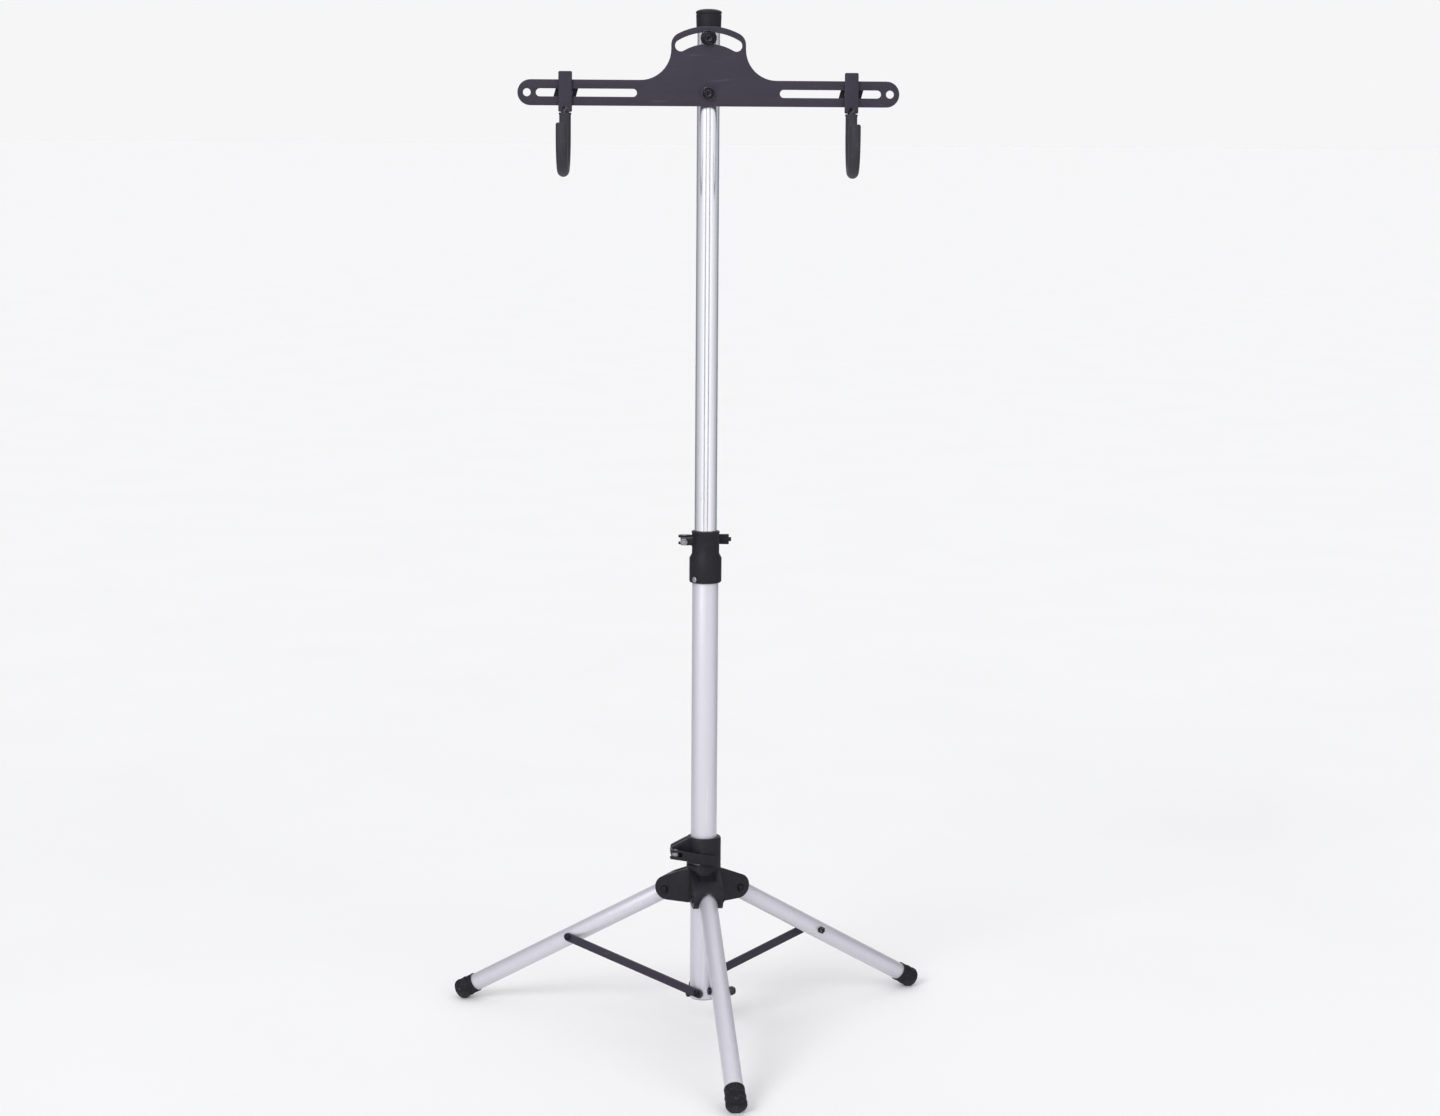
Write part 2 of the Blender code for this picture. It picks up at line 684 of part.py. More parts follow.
head_axis = joint_axis("head_axis", move(z=PIVOT_HEIGHT), mast_axis)
FILLET_CENTRE = (HUMP_SIDE + HUMP_FILLET, ARM_HALF_HEIGHT + HUMP_FILLET)
CORNER_CENTRE_X = HUMP_SIDE - HUMP_CORNER
CORNER_CENTRE = (
    CORNER_CENTRE_X,
    math.sqrt((HUMP_RADIUS - HUMP_CORNER) ** 2 - CORNER_CENTRE_X**2),
)
crown = math.degrees(math.atan2(CORNER_CENTRE[1], CORNER_CENTRE_X))
right_side = [
    *arc((ARM_REACH - ARM_HALF_HEIGHT, 0), ARM_HALF_HEIGHT, -90, 90, 18),
    *arc(FILLET_CENTRE, HUMP_FILLET, -90, -180, 12),
    *arc(CORNER_CENTRE, HUMP_CORNER, 0, crown, 6),
    *arc((0, 0), HUMP_RADIUS, crown, 90, 8)[1:],
]
outline = right_side + [(-x, z) for x, z in right_side[-2::-1]]


def slot(inner, outer, half_width):
    return arc((outer, 0), half_width, -90, 90, 10) + arc((inner, 0), half_width, 90, 270, 10)


arc_degrees = math.degrees(ARC_HALF_ANGLE)
arc_end_right = (ARC_RADIUS * math.sin(ARC_HALF_ANGLE), ARC_RADIUS * math.cos(ARC_HALF_ANGLE))
arc_end_left = (-arc_end_right[0], arc_end_right[1])
arc_slot = [
    *arc((0, 0), ARC_RADIUS + ARC_HALF_WIDTH, 90 - arc_degrees, 90 + arc_degrees, 20),
    *arc(arc_end_left, ARC_HALF_WIDTH, 90 + arc_degrees, 270 + arc_degrees, 10)[1:-1],
    *arc((0, 0), ARC_RADIUS - ARC_HALF_WIDTH, 90 + arc_degrees, 90 - arc_degrees, 20),
    *arc(arc_end_right, ARC_HALF_WIDTH, -90 - arc_degrees, 90 - arc_degrees, 10)[1:-1],
]
plate_holes = [
    circle((0, 0), BIG_HOLE_RADIUS + 0.0001),
    arc_slot,
    slot(ARM_SLOT_IN, ARM_SLOT_OUT, ARM_HOLE_RADIUS),
    slot(-ARM_SLOT_OUT, -ARM_SLOT_IN, ARM_HOLE_RADIUS),
    circle((ARM_HOLE_AT, 0), ARM_HOLE_RADIUS),
    circle((-ARM_HOLE_AT, 0), ARM_HOLE_RADIUS),
]
piece(
    "head_plate",
    prism(outline, PLATE_BACK, PLATE_FRONT, plate_holes),
    BLACK_STEEL,
    head_axis,
    FORWARD,
)

# ---- Hooks: a strap and a bent rod with a rubber sleeve, clamped by a knob behind ----

SLOT_WASHER_BACK = PLATE_BACK - PLAY - 0.0016
KNOB_FRONT = SLOT_WASHER_BACK - PLAY
KNOB_DEPTH = 0.0120
bend_path = arc((-ROD_BACK - BEND_RADIUS, BEND_CENTRE), BEND_RADIUS, 0, -180, 16)
tip_y = -ROD_BACK - 2 * BEND_RADIUS
strap_middle = STRAP_BACK + STRAP_THICK / 2
rod_path = [(-strap_middle, ROD_ROOT), (-ROD_BACK, ROD_FULL), *bend_path, (tip_y, ROD_TIP)]
rod_radii = [STRAP_THICK * 0.4] + [ROD_RADIUS] * (len(bend_path) + 2)
SLEEVE_BORE = ROD_RADIUS + PLAY
corner_x, corner_z = STRAP_HALF_WIDTH - STRAP_CORNER, STRAP_TOP - STRAP_CORNER

for side, way in (("left", -1), ("right", 1)):
    hook_axis = joint_axis(f"hook_axis_{side}", move(x=way * HOOK_AT), head_axis)
    strap = prism(
        [
            (-STRAP_HALF_WIDTH, STRAP_LOW + STRAP_CHAMFER),
            (-STRAP_HALF_WIDTH + STRAP_CHAMFER, STRAP_LOW),
            (STRAP_HALF_WIDTH - STRAP_CHAMFER, STRAP_LOW),
            (STRAP_HALF_WIDTH, STRAP_LOW + STRAP_CHAMFER),
            *arc((corner_x, corner_z), STRAP_CORNER, 0, 90, 3),
            *arc((-corner_x, corner_z), STRAP_CORNER, 90, 180, 3),
        ],
        STRAP_BACK,
        STRAP_BACK + STRAP_THICK,
    )
    hook = piece(f"hook_bar_{side}", strap, BLACK_STEEL, hook_axis, FORWARD)
    bar = bent(rod_path, rod_radii)
    combine(hook, "UNION", [(bar, FORWARD.inverted())])
    blind_hole = rod(BIG_HOLE_RADIUS, STRAP_BACK - 0.001, STRAP_BACK + 0.0022, 24)
    combine(hook, "DIFFERENCE", [(blind_hole, Matrix())])
    piece(
        f"hook_stud_{side}",
        turned(
            [
                (0, 0.0014),
                (BIG_BOLT_RADIUS - 0.0006, 0.0014),
                (BIG_BOLT_RADIUS, 0.0020),
                (BIG_BOLT_RADIUS, STRAP_BACK + 0.0019),
                (0, STRAP_BACK + 0.0019),
            ],
            24,
        ),
        DARK_ZINC,
        hook_axis,
        FORWARD,
    )
    sleeve_path = [
        (-ROD_BACK, SLEEVE_START),
        (-ROD_BACK, SLEEVE_START - 0.0018),
        (-ROD_BACK, SLEEVE_START - 0.0026),
        *bend_path,
        (tip_y, ROD_TIP - 0.0010),
        (tip_y, ROD_TIP + 0.0022),
        (tip_y, ROD_TIP + 0.0031),
        (tip_y, ROD_TIP + 0.0034),
    ]
    sleeve_radii = [0.0076, 0.0076] + [SLEEVE_RADIUS] * (len(bend_path) + 2) + [0.0064, 0.0040, 0]
    bore_end = [(tip_y, ROD_TIP + 0.0004), (tip_y, ROD_TIP + 0.0006)]
    bore_path = [(-ROD_BACK, SLEEVE_START), *bend_path, *bore_end]
    bore_radii = [SLEEVE_BORE] * (len(bend_path) + 2) + [0]
    piece(
        f"hook_sleeve_{side}",
        bent(sleeve_path, sleeve_radii, hollow=(bore_path, bore_radii)),
        RUBBER,
        hook_axis,
    )
    piece(
        f"slot_washer_{side}",
        pipe(0.0085, BIG_HOLE_RADIUS, SLOT_WASHER_BACK, SLOT_WASHER_BACK + 0.0016, 24),
        DARK_ZINC,
        hook_axis,
        FORWARD,
    )
    piece(
        f"hook_knob_{side}",
        turned(
            [
                (BIG_HOLE_RADIUS, KNOB_FRONT),
                (0.0085, KNOB_FRONT),
                (0.0090, KNOB_FRONT - 0.0025),
                (KNOB_HALF_WIDTH - 0.0010, KNOB_FRONT - 0.0030, 4, KNOB_CORNER - 0.0012),
                (KNOB_HALF_WIDTH, KNOB_FRONT - 0.0040, 4, KNOB_CORNER),
                (KNOB_HALF_WIDTH, KNOB_FRONT - KNOB_DEPTH + 0.0015, 4, KNOB_CORNER),
                (KNOB_HALF_WIDTH - 0.0015, KNOB_FRONT - KNOB_DEPTH, 4, KNOB_CORNER - 0.0018),
                (BIG_HOLE_RADIUS, KNOB_FRONT - KNOB_DEPTH),
            ],
            32,
        ),
        BLACK_PLASTIC,
        hook_axis,
        FORWARD @ Matrix.Rotation(KNOB_TURN, 4, "Z"),
    )

# ---- Tripod hub: moulded collar that slides on the post, with a yoke for each leg ----

hub = piece(
    "tripod_hub",
    turned(
        [
            (POST_RADIUS + PLAY, HUB_LOW),
            (HUB_RADIUS - 0.0010, HUB_LOW),
            (HUB_RADIUS, HUB_LOW + 0.0010),
            (HUB_RADIUS, HUB_HIGH - 0.0020),
            (HUB_RADIUS - 0.0008, HUB_HIGH),
            (POST_RADIUS + PLAY, HUB_HIGH),
        ],
        36,
    ),
    BLACK_PLASTIC,
    tripod,
)
slope_degrees = math.degrees(YOKE_SLOPE)
yoke_end_centre = (YOKE_END_AT, LEG_PIVOT_HEIGHT + YOKE_END_RISE)
YOKE_ROOT, SLOPE_START = 0.0120, HUB_RADIUS + 0.0010  # inside the hub's wall, and at its face


def slope_height(reach):
    """The height of the yoke's sloping top, this far from the post's axis."""
    return HUB_HIGH - 0.0414 - (reach - SLOPE_START) * math.tan(YOKE_SLOPE)


yoke_outline = [
    (YOKE_ROOT, HUB_LOW),
    (YOKE_END_AT, HUB_LOW + 0.0005),
    *arc(yoke_end_centre, YOKE_END_RADIUS, -88, 90 - slope_degrees, 10),
    (SLOPE_START, slope_height(SLOPE_START)),
    (YOKE_ROOT, HUB_HIGH - 0.0386),
]
HUB_EAR_END, HUB_EAR_ROOT, HUB_EAR_LOW, HUB_EAR_SHOULDER = -0.0405, -0.0150, 0.1786, 0.1938
ear_outline = [
    (HUB_EAR_ROOT, HUB_EAR_LOW),
    (HUB_EAR_END + 0.0025, HUB_EAR_LOW + 0.0007),
    (HUB_EAR_END, HUB_EAR_LOW + 0.0029),
    (HUB_EAR_END, HUB_EAR_SHOULDER - 0.0018),
    (HUB_EAR_END + 0.0012, HUB_EAR_SHOULDER),
    (-HUB_RADIUS, HUB_HIGH - 0.0016),
    (HUB_EAR_ROOT, HUB_HIGH),
]
HUB_EAR_HALF_THICK, HUB_SPLIT_HALF_WIDTH, HUB_SPLIT_LOW = 0.0085, 0.0015, 0.1716
yokes = [
    (prism(yoke_outline, -YOKE_HALF_WIDTH, YOKE_HALF_WIDTH), leg_direction(side) @ turn(90, "X"))
    for side in LEG_TURNS
]
ears = (prism(ear_outline, -HUB_EAR_HALF_THICK, HUB_EAR_HALF_THICK), turn(90, "X"))
combine(hub, "UNION", [*yokes, ears])


def recess():
    """The dip in a yoke's sloping top, between its cheeks, as a cutter along +X."""
    half_angle = math.degrees(math.asin(YOKE_CHEEK_FROM / HUB_RADIUS))
    plan = [
        (RECESS_END, -YOKE_CHEEK_FROM),
        (RECESS_END, YOKE_CHEEK_FROM),
        *arc((0, 0), HUB_RADIUS + 0.0001, half_angle, -half_angle, 8),
    ]
    mesh = prism(plan, -RECESS_DEPTH, 0.0060)
    for vertex in mesh.verts:
        vertex.co.z += slope_height(vertex.co.x)
    return mesh


channel = [
    (-YOKE_GAP, -0.10),
    (YOKE_GAP, -0.10),
    *arc((0, LEG_PIVOT_HEIGHT - 0.0035), YOKE_GAP, 0, 180, 10),
]


def leg_sweep(steps=8):
    """The barrel that the leg's upper end fills as it turns about its pivot, and its clearance."""
    profile = [(0, -YOKE_GAP)]
    for number in range(steps + 1):
        aside = YOKE_GAP * (2 * number / steps - 1)
        half_height = math.sqrt(max(LEG_RADIUS**2 - aside**2, 0))
        profile.append((math.hypot(LEG_TOP, half_height) + SWEEP_CLEARANCE, aside))
    return turned([*profile, (0, YOKE_GAP)], 24)


split_low, split_top = HUB_SPLIT_LOW, HUB_HIGH + 0.01
split_width = (-HUB_SPLIT_HALF_WIDTH, HUB_SPLIT_HALF_WIDTH)
hub_split = block((-0.06, HUB_EAR_ROOT), split_width, (split_low, split_top))
hub_slot = block((-0.06, -0.0065), (-0.03, 0.03), (split_low - 0.0005, split_low + 0.0020))
hub_bolt_place = move(HUB_PIN_X, 0, HUB_CLAMP_HEIGHT) @ FORWARD
cuts = [
    (rod(POST_RADIUS + PLAY, 0.05, 0.30, 36), Matrix()),
    (hub_split, Matrix()),
    (hub_slot, Matrix()),
    (rod(SMALL_HOLE_RADIUS, -THROUGH, THROUGH, 16), hub_bolt_place),
]
for side in LEG_TURNS:
    outward = leg_direction(side)
    across_pivot = outward @ move(LEG_PIVOT_RADIUS, 0, LEG_PIVOT_HEIGHT) @ FORWARD
    cuts += [
        (recess(), outward),
        (prism(channel, 0.0260, 0.08), outward @ turn(90, "Z") @ turn(90, "X")),
        (leg_sweep(), across_pivot),
        (rod(PIN_HOLE_RADIUS, -THROUGH, THROUGH, 16), across_pivot),
    ]
combine(hub, "DIFFERENCE", cuts)

clamp_fastening(
    "hub",
    tripod,
    HUB_PIN_X,
    -HUB_EAR_HALF_THICK - 0.0006 - CAM_RADIUS,
    HUB_CLAMP_HEIGHT,
    HUB_EAR_HALF_THICK,
    -1,
)
hub_pin_y = HUB_EAR_HALF_THICK + 0.0006 + CAM_RADIUS
hub_course = [(0, 0, CAM_RADIUS), (0.0100, -0.0050, 0.0034), (0.0180, -0.0060, 0.0026)]
hub_sweep = arc((-HUB_PIN_X, hub_pin_y), 0.0262, -105, -58, 7)
hub_course += [(x, y, 0.0023) for x, y in hub_sweep]
cam_lever(
    "hub_cam_lever",
    tripod,
    move(HUB_PIN_X, -hub_pin_y, HUB_CLAMP_HEIGHT),
    hub_course,
    0.0080,
    0.0067,
)

# ---- Legs, their rubber feet, and the braces that tie them to the post ----

foot_profile = [
    (LEG_RADIUS + PLAY, -FOOT_MOUTH),
    (0.0118, -FOOT_MOUTH),
    (0.0121, -FOOT_MOUTH + 0.0008),
    (0.0121, -FOOT_MOUTH + 0.0120),
    (0.0126, -FOOT_MOUTH + 0.0126),
    (0.0126, -FOOT_MOUTH + 0.0142),
    (0.0122, -FOOT_MOUTH + 0.0148),
    (0.0126, -0.0056),
    (0.0128, -0.0044),
    (0.0120, -0.0018),
    (0.0098, -0.0004),
    (0.0078, 0),
    (0, 0),
]
foot_inside = [(0, -FOOT_SEAT), (LEG_RADIUS + PLAY, -FOOT_SEAT)]

for side in LEG_TURNS:
    pivot_place = leg_direction(side) @ move(LEG_PIVOT_RADIUS, 0, LEG_PIVOT_HEIGHT)
    leg_place = pivot_place @ Matrix.Rotation(LEG_ANGLE, 4, "Y")
    leg_axis = joint_axis(f"leg_axis_{side}", leg_place, tripod)
    # Along the leg, the brace's bolt is where both ends of the hub's travel suit it.
    drop = LEG_PIVOT_HEIGHT - POST_BOLT_HEIGHTS[side]
    closing = LEG_PIVOT_RADIUS * math.cos(LEG_ANGLE) + drop * (1 - math.sin(LEG_ANGLE))
    along = (HUB_TRAVEL**2 + 2 * drop * HUB_TRAVEL) / (2 * (closing + HUB_TRAVEL))
    brace_length = math.hypot(LEG_PIVOT_RADIUS, drop + HUB_TRAVEL - along)
    brace_angle = math.asin((drop - along * math.sin(LEG_ANGLE)) / brace_length)

    leg_tube = piece(
        f"leg_tube_{side}",
        pipe(LEG_RADIUS, LEG_RADIUS - LEG_WALL, LEG_TOP, LEG_LENGTH - FOOT_SEAT - PLAY, 24),
        SILVER_PAINT,
        leg_axis,
        ALONG_X,
    )
    combine(
        leg_tube,
        "DIFFERENCE",
        [
            (rod(PIN_HOLE_RADIUS, -0.02, 0.02, 16), ALONG_X.inverted() @ FORWARD),
            (
                rod(SMALL_HOLE_RADIUS, -0.02, 0.02, 16),
                ALONG_X.inverted() @ move(x=along) @ FORWARD,
            ),
        ],
    )
    foot = turned([*foot_profile, *foot_inside], 24)
    from_ground = (leg_place @ move(x=LEG_LENGTH) @ ALONG_X).inverted()
    bmesh.ops.bisect_plane(
        foot,
        geom=foot.verts[:] + foot.edges[:] + foot.faces[:],
        plane_co=from_ground @ Vector((0, 0, FLOOR)),
        plane_no=from_ground.to_3x3() @ Vector((0, 0, -1)),
        clear_outer=True,
    )
    bmesh.ops.holes_fill(foot, edges=foot.edges)
    bmesh.ops.recalc_face_normals(foot, faces=foot.faces)
    piece(f"foot_cap_{side}", foot, RUBBER, leg_axis, move(x=LEG_LENGTH) @ ALONG_X)
    piece(
        f"leg_pivot_bolt_{side}",
        turned(
            [
                (0, -YOKE_HALF_WIDTH - PLAY - 0.0026),
                (0.0036, -YOKE_HALF_WIDTH - PLAY - 0.0022),
                (0.0050, -YOKE_HALF_WIDTH - PLAY - 0.0008),
                (0.0050, -YOKE_HALF_WIDTH - PLAY),
                (PIN_RADIUS, -YOKE_HALF_WIDTH - PLAY),
                (PIN_RADIUS, YOKE_HALF_WIDTH + PLAY),
                (0.0050, YOKE_HALF_WIDTH + PLAY),
                (0.0050, YOKE_HALF_WIDTH + PLAY + 0.0008),
                (0.0036, YOKE_HALF_WIDTH + PLAY + 0.0022),
                (0, YOKE_HALF_WIDTH + PLAY + 0.0026),
            ],
            16,
        ),
        DARK_ZINC,
        tripod,
        pivot_place @ SIDEWAYS,
    )

    # The bolt's shank ends in the leg's washer; its head, beyond, turns with the brace.
    washer_low = LEG_RADIUS + PLAY
    piece(
        f"leg_brace_bolt_{side}",
        turned(
            [
                (0, -LEG_RADIUS - PLAY - NUT_HEIGHT - 0.0008),
                (SMALL_BOLT_RADIUS, -LEG_RADIUS - PLAY - NUT_HEIGHT - 0.0008),
                (SMALL_BOLT_RADIUS, -LEG_RADIUS - PLAY - NUT_HEIGHT),
                (NUT_HALF_WIDTH, -LEG_RADIUS - PLAY - NUT_HEIGHT, 6),
                (NUT_HALF_WIDTH, -LEG_RADIUS - PLAY, 6),
                (SMALL_BOLT_RADIUS, -LEG_RADIUS - PLAY),
                (SMALL_BOLT_RADIUS, washer_low),
                (0.0050, washer_low),
                (0.0050, washer_low + 0.0009),
                (0, washer_low + 0.0009),
            ],
            18,
        ),
        DARK_ZINC,
        leg_axis,
        move(x=along) @ SIDEWAYS,
    )

    brace_axis = joint_axis(
        f"brace_axis_{side}",
        leg_direction(side)
        @ move(z=POST_BOLT_HEIGHTS[side])
        @ Matrix.Rotation(-brace_angle, 4, "Y"),
        tripod,
    )
    bar_outline = [
        *arc((brace_length, 0), BRACE_HALF_WIDTH, -90, 90, 10),
        *arc((-BRACE_END + BRACE_HALF_WIDTH, 0), BRACE_HALF_WIDTH, 90, 270, 10),
    ]
    bar = prism(
        bar_outline,
        -BRACE_THICK / 2,
        BRACE_THICK / 2,
        [circle((0, 0), POST_HOLE_RADIUS, 16), circle((brace_length, 0), SMALL_HOLE_RADIUS, 16)],
    )
    for vertex in bar.verts:
        share = vertex.co.x / brace_length
        outward = BRACE_POST_SIDE + share * (BRACE_LEG_SIDE - BRACE_POST_SIDE)
        vertex.co.z -= outward
    piece(f"brace_{side}", bar, BLACK_STEEL, brace_axis, turn(90, "X"))
    head_low = BRACE_LEG_SIDE + BRACE_THICK / 2 + 0.0005
    piece(
        f"brace_bolt_head_{side}",
        turned(
            [
                (0, washer_low + 0.0013),
                (0.0023, washer_low + 0.0013),
                (0.0023, head_low),
                (0.0045, head_low),
                (0.0043, head_low + 0.0011),
                (0.0030, head_low + 0.0022),
                (0, head_low + 0.0025),
            ],
            16,
        ),
        DARK_ZINC,
        brace_axis,
        move(x=brace_length) @ SIDEWAYS,
    )
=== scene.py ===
"""A folding bike repair stand, dressed: its tubes, mouldings, plate, hooks and fastenings are
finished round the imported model, and stand in a plain studio."""

import json
import math

import bpy
from mathutils import Euler, Matrix, Vector


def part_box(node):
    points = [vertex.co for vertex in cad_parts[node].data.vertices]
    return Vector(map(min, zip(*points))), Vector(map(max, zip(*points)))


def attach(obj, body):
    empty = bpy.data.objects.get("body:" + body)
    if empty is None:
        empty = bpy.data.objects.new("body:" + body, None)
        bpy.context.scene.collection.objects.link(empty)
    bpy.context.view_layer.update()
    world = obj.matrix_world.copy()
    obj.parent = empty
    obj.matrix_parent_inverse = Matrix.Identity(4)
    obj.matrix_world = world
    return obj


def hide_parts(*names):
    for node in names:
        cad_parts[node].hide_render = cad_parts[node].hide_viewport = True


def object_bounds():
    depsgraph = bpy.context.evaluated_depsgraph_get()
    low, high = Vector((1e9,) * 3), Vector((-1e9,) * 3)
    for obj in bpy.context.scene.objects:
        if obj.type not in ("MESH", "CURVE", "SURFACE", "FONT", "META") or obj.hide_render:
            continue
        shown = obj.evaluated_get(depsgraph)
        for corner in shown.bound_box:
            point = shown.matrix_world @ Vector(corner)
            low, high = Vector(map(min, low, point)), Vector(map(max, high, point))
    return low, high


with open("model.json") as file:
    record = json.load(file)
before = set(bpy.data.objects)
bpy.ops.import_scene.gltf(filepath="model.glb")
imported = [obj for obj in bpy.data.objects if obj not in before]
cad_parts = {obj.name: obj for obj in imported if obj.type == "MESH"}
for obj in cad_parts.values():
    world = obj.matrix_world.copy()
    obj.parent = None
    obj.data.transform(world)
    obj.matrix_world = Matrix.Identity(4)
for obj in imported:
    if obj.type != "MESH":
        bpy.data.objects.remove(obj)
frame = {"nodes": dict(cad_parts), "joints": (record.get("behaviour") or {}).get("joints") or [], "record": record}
cad_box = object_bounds()
nodes = frame["nodes"]

# ---- Camera ----
# It stands square in front of the stand, level with the head plate, and looks slightly down
# with a long lens that is shifted a little, so that the mast stays upright.

CAMERA_DISTANCE = 3.712
CAMERA_HEIGHT = 1.106
CAMERA_ASIDE = -0.0033
LOOKING_DOWN = math.radians(6.78)
HEADING = math.radians(0.317)
TILT_OF_FRAME = math.radians(0.390)
SENSOR, LENS, LENS_SHIFT = 36.0, 76.66, -0.0417

floor_height = cad_box[0].z
bpy.ops.object.camera_add(location=(CAMERA_ASIDE, -CAMERA_DISTANCE, floor_height + CAMERA_HEIGHT))
camera = bpy.context.object
camera.name = "studio_camera"
camera.data.sensor_width = SENSOR
camera.data.lens = LENS
camera.data.shift_y = LENS_SHIFT
facing = Euler((math.pi / 2 - LOOKING_DOWN, 0, -HEADING)).to_matrix()
camera.rotation_euler = (facing @ Matrix.Rotation(TILT_OF_FRAME, 3, "Z")).to_euler()
bpy.context.scene.camera = camera

# ---- Studio ----
# A pale floor runs back out of sight under a white room that is darker to the left and right.
# Panels that only polished surfaces show draw the bright face, dark sides and streaks of the tubes.

ROOM_WHITE, ROOM_SIDES = (0.92, 0.92, 0.93, 1), (0.16, 0.16, 0.18, 1)
SIDES_FROM, SIDES_TO = 0.50, 0.88  # how far to the side the room darkens
PANEL_HEIGHT = 1.9
PANEL_BRIGHT, PANEL_DARK = (1.12, 1.11, 1.15, 1), (0.20, 0.20, 0.24, 1)
PANEL_CLOTH = (0.02, 0.02, 0.02, 1)
ALL_BRIGHT, ALL_DARK = 1.0, -1.0
PANELS = (  # each one's two ends on the floor, and the share of its length that stays bright
    ("left_panel", (-0.55, -1.20), (-1.00, 1.60), 0.10),
    ("right_panel", (0.55, -1.20), (1.00, 1.60), 0.10),
    ("front_panel", (-1.35, -2.40), (1.35, -2.40), ALL_BRIGHT),
    ("left_streak", (-0.60, -1.35), (-0.40, -1.55), ALL_DARK),
    ("right_streak", (0.60, -1.35), (0.40, -1.55), ALL_DARK),
)
FADE = 0.55  # share of a panel's length over which it goes dark
LAMPS = (  # each one's place, its spread in degrees and its strength
    ("key_lamp", (-2.4, -4.0, 3.4), 24, 1.25),
    ("fill_lamp", (3.0, -3.2, 2.2), 40, 0.40),
)
LAMP_TARGET = Vector((0, 0, 0.6))

bpy.context.scene.view_settings.view_transform = "Standard"

room = bpy.data.worlds.new("white_room")
room.use_nodes = True
room_nodes, room_links = room.node_tree.nodes, room.node_tree.links
direction = room_nodes.new("ShaderNodeTexCoord")
heading = room_nodes.new("ShaderNodeSeparateXYZ")
aside = room_nodes.new("ShaderNodeMath")
aside.operation = "ABSOLUTE"
darker = room_nodes.new("ShaderNodeMapRange")
darker.interpolation_type = "SMOOTHSTEP"
darker.inputs["From Min"].default_value = SIDES_FROM
darker.inputs["From Max"].default_value = SIDES_TO
walls = room_nodes.new("ShaderNodeMix")
walls.data_type = "RGBA"
walls.inputs[6].default_value = ROOM_WHITE
walls.inputs[7].default_value = ROOM_SIDES
room_links.new(direction.outputs["Generated"], heading.inputs[0])
room_links.new(heading.outputs["X"], aside.inputs[0])
room_links.new(aside.outputs[0], darker.inputs["Value"])
room_links.new(darker.outputs[0], walls.inputs[0])
room_links.new(walls.outputs[2], room_nodes["Background"].inputs["Color"])
bpy.context.scene.world = room

for name, near, far, bright_share in PANELS:
    near, far = Vector(near), Vector(far)
    middle = (near + far) / 2
    run = far - near
    bpy.ops.mesh.primitive_plane_add(
        size=1,
        location=(middle.x, middle.y, floor_height + PANEL_HEIGHT / 2),
        rotation=(math.pi / 2, 0, math.atan2(run.y, run.x)),
    )
    panel = bpy.context.object
    panel.name = name
    panel.scale = (run.length, PANEL_HEIGHT, 1)
    cloth = bpy.data.materials.new(name)
    cloth.use_nodes = True
    cloth_nodes, cloth_links = cloth.node_tree.nodes, cloth.node_tree.links
    place = cloth_nodes.new("ShaderNodeTexCoord")
    split = cloth_nodes.new("ShaderNodeSeparateXYZ")
    fade = cloth_nodes.new("ShaderNodeMapRange")
    fade.inputs["From Min"].default_value = bright_share - 0.5
    fade.inputs["From Max"].default_value = bright_share - 0.5 + FADE
    tone = cloth_nodes.new("ShaderNodeMix")
    tone.data_type = "RGBA"
    tone.inputs[6].default_value = PANEL_BRIGHT
    tone.inputs[7].default_value = PANEL_DARK
    face = cloth_nodes["Principled BSDF"]
    face.inputs["Base Color"].default_value = PANEL_CLOTH
    face.inputs["Specular IOR Level"].default_value = 0
    face.inputs["Emission Strength"].default_value = 1
    cloth_links.new(place.outputs["Object"], split.inputs[0])
    cloth_links.new(split.outputs["X"], fade.inputs["Value"])
    cloth_links.new(fade.outputs[0], tone.inputs[0])
    cloth_links.new(tone.outputs[2], face.inputs["Emission Color"])
    panel.data.materials.append(cloth)
    panel.visible_camera = False
    panel.visible_diffuse = False
    panel.visible_shadow = False

for name, spot, spread, strength in LAMPS:
    aim = (LAMP_TARGET - Vector(spot)).to_track_quat("-Z", "Y").to_euler()
    bpy.ops.object.light_add(type="SUN", location=spot, rotation=aim)
    bpy.context.object.name = name
    bpy.context.object.data.angle = math.radians(spread)
    bpy.context.object.data.energy = strength

FLOOR_SIZE, FLOOR_GAP = 600, 0.0002
bpy.ops.mesh.primitive_plane_add(size=FLOOR_SIZE, location=(0, 0, floor_height - FLOOR_GAP))
studio_floor = bpy.context.object
studio_floor.name = "studio_floor"

# ---- Post ----
# The fixed lower tube is drawn steel with a satin silver paint: a fine metallic flake under a
# slight orange peel, with long faint rubs where the hub has been slid up and down it.

behaviour = frame["record"]["behaviour"]
rides_with = {node: body for body, members in behaviour["bodies"].items() for node in members}


class Reading:
    """A value in a finish, which takes part in arithmetic."""

    def __init__(self, finish, socket):
        self.finish = finish
        self.socket = socket

    def maths(self, operation, first, second):
        return self.finish.node("ShaderNodeMath", {"operation": operation}, {0: first, 1: second})

    def __add__(self, other):
        return self.maths("ADD", self, other)

    def __radd__(self, other):
        return self.maths("ADD", other, self)

    def __sub__(self, other):
        return self.maths("SUBTRACT", self, other)

    def __rsub__(self, other):
        return self.maths("SUBTRACT", other, self)

    def __mul__(self, other):
        return self.maths("MULTIPLY", self, other)

    def __rmul__(self, other):
        return self.maths("MULTIPLY", other, self)


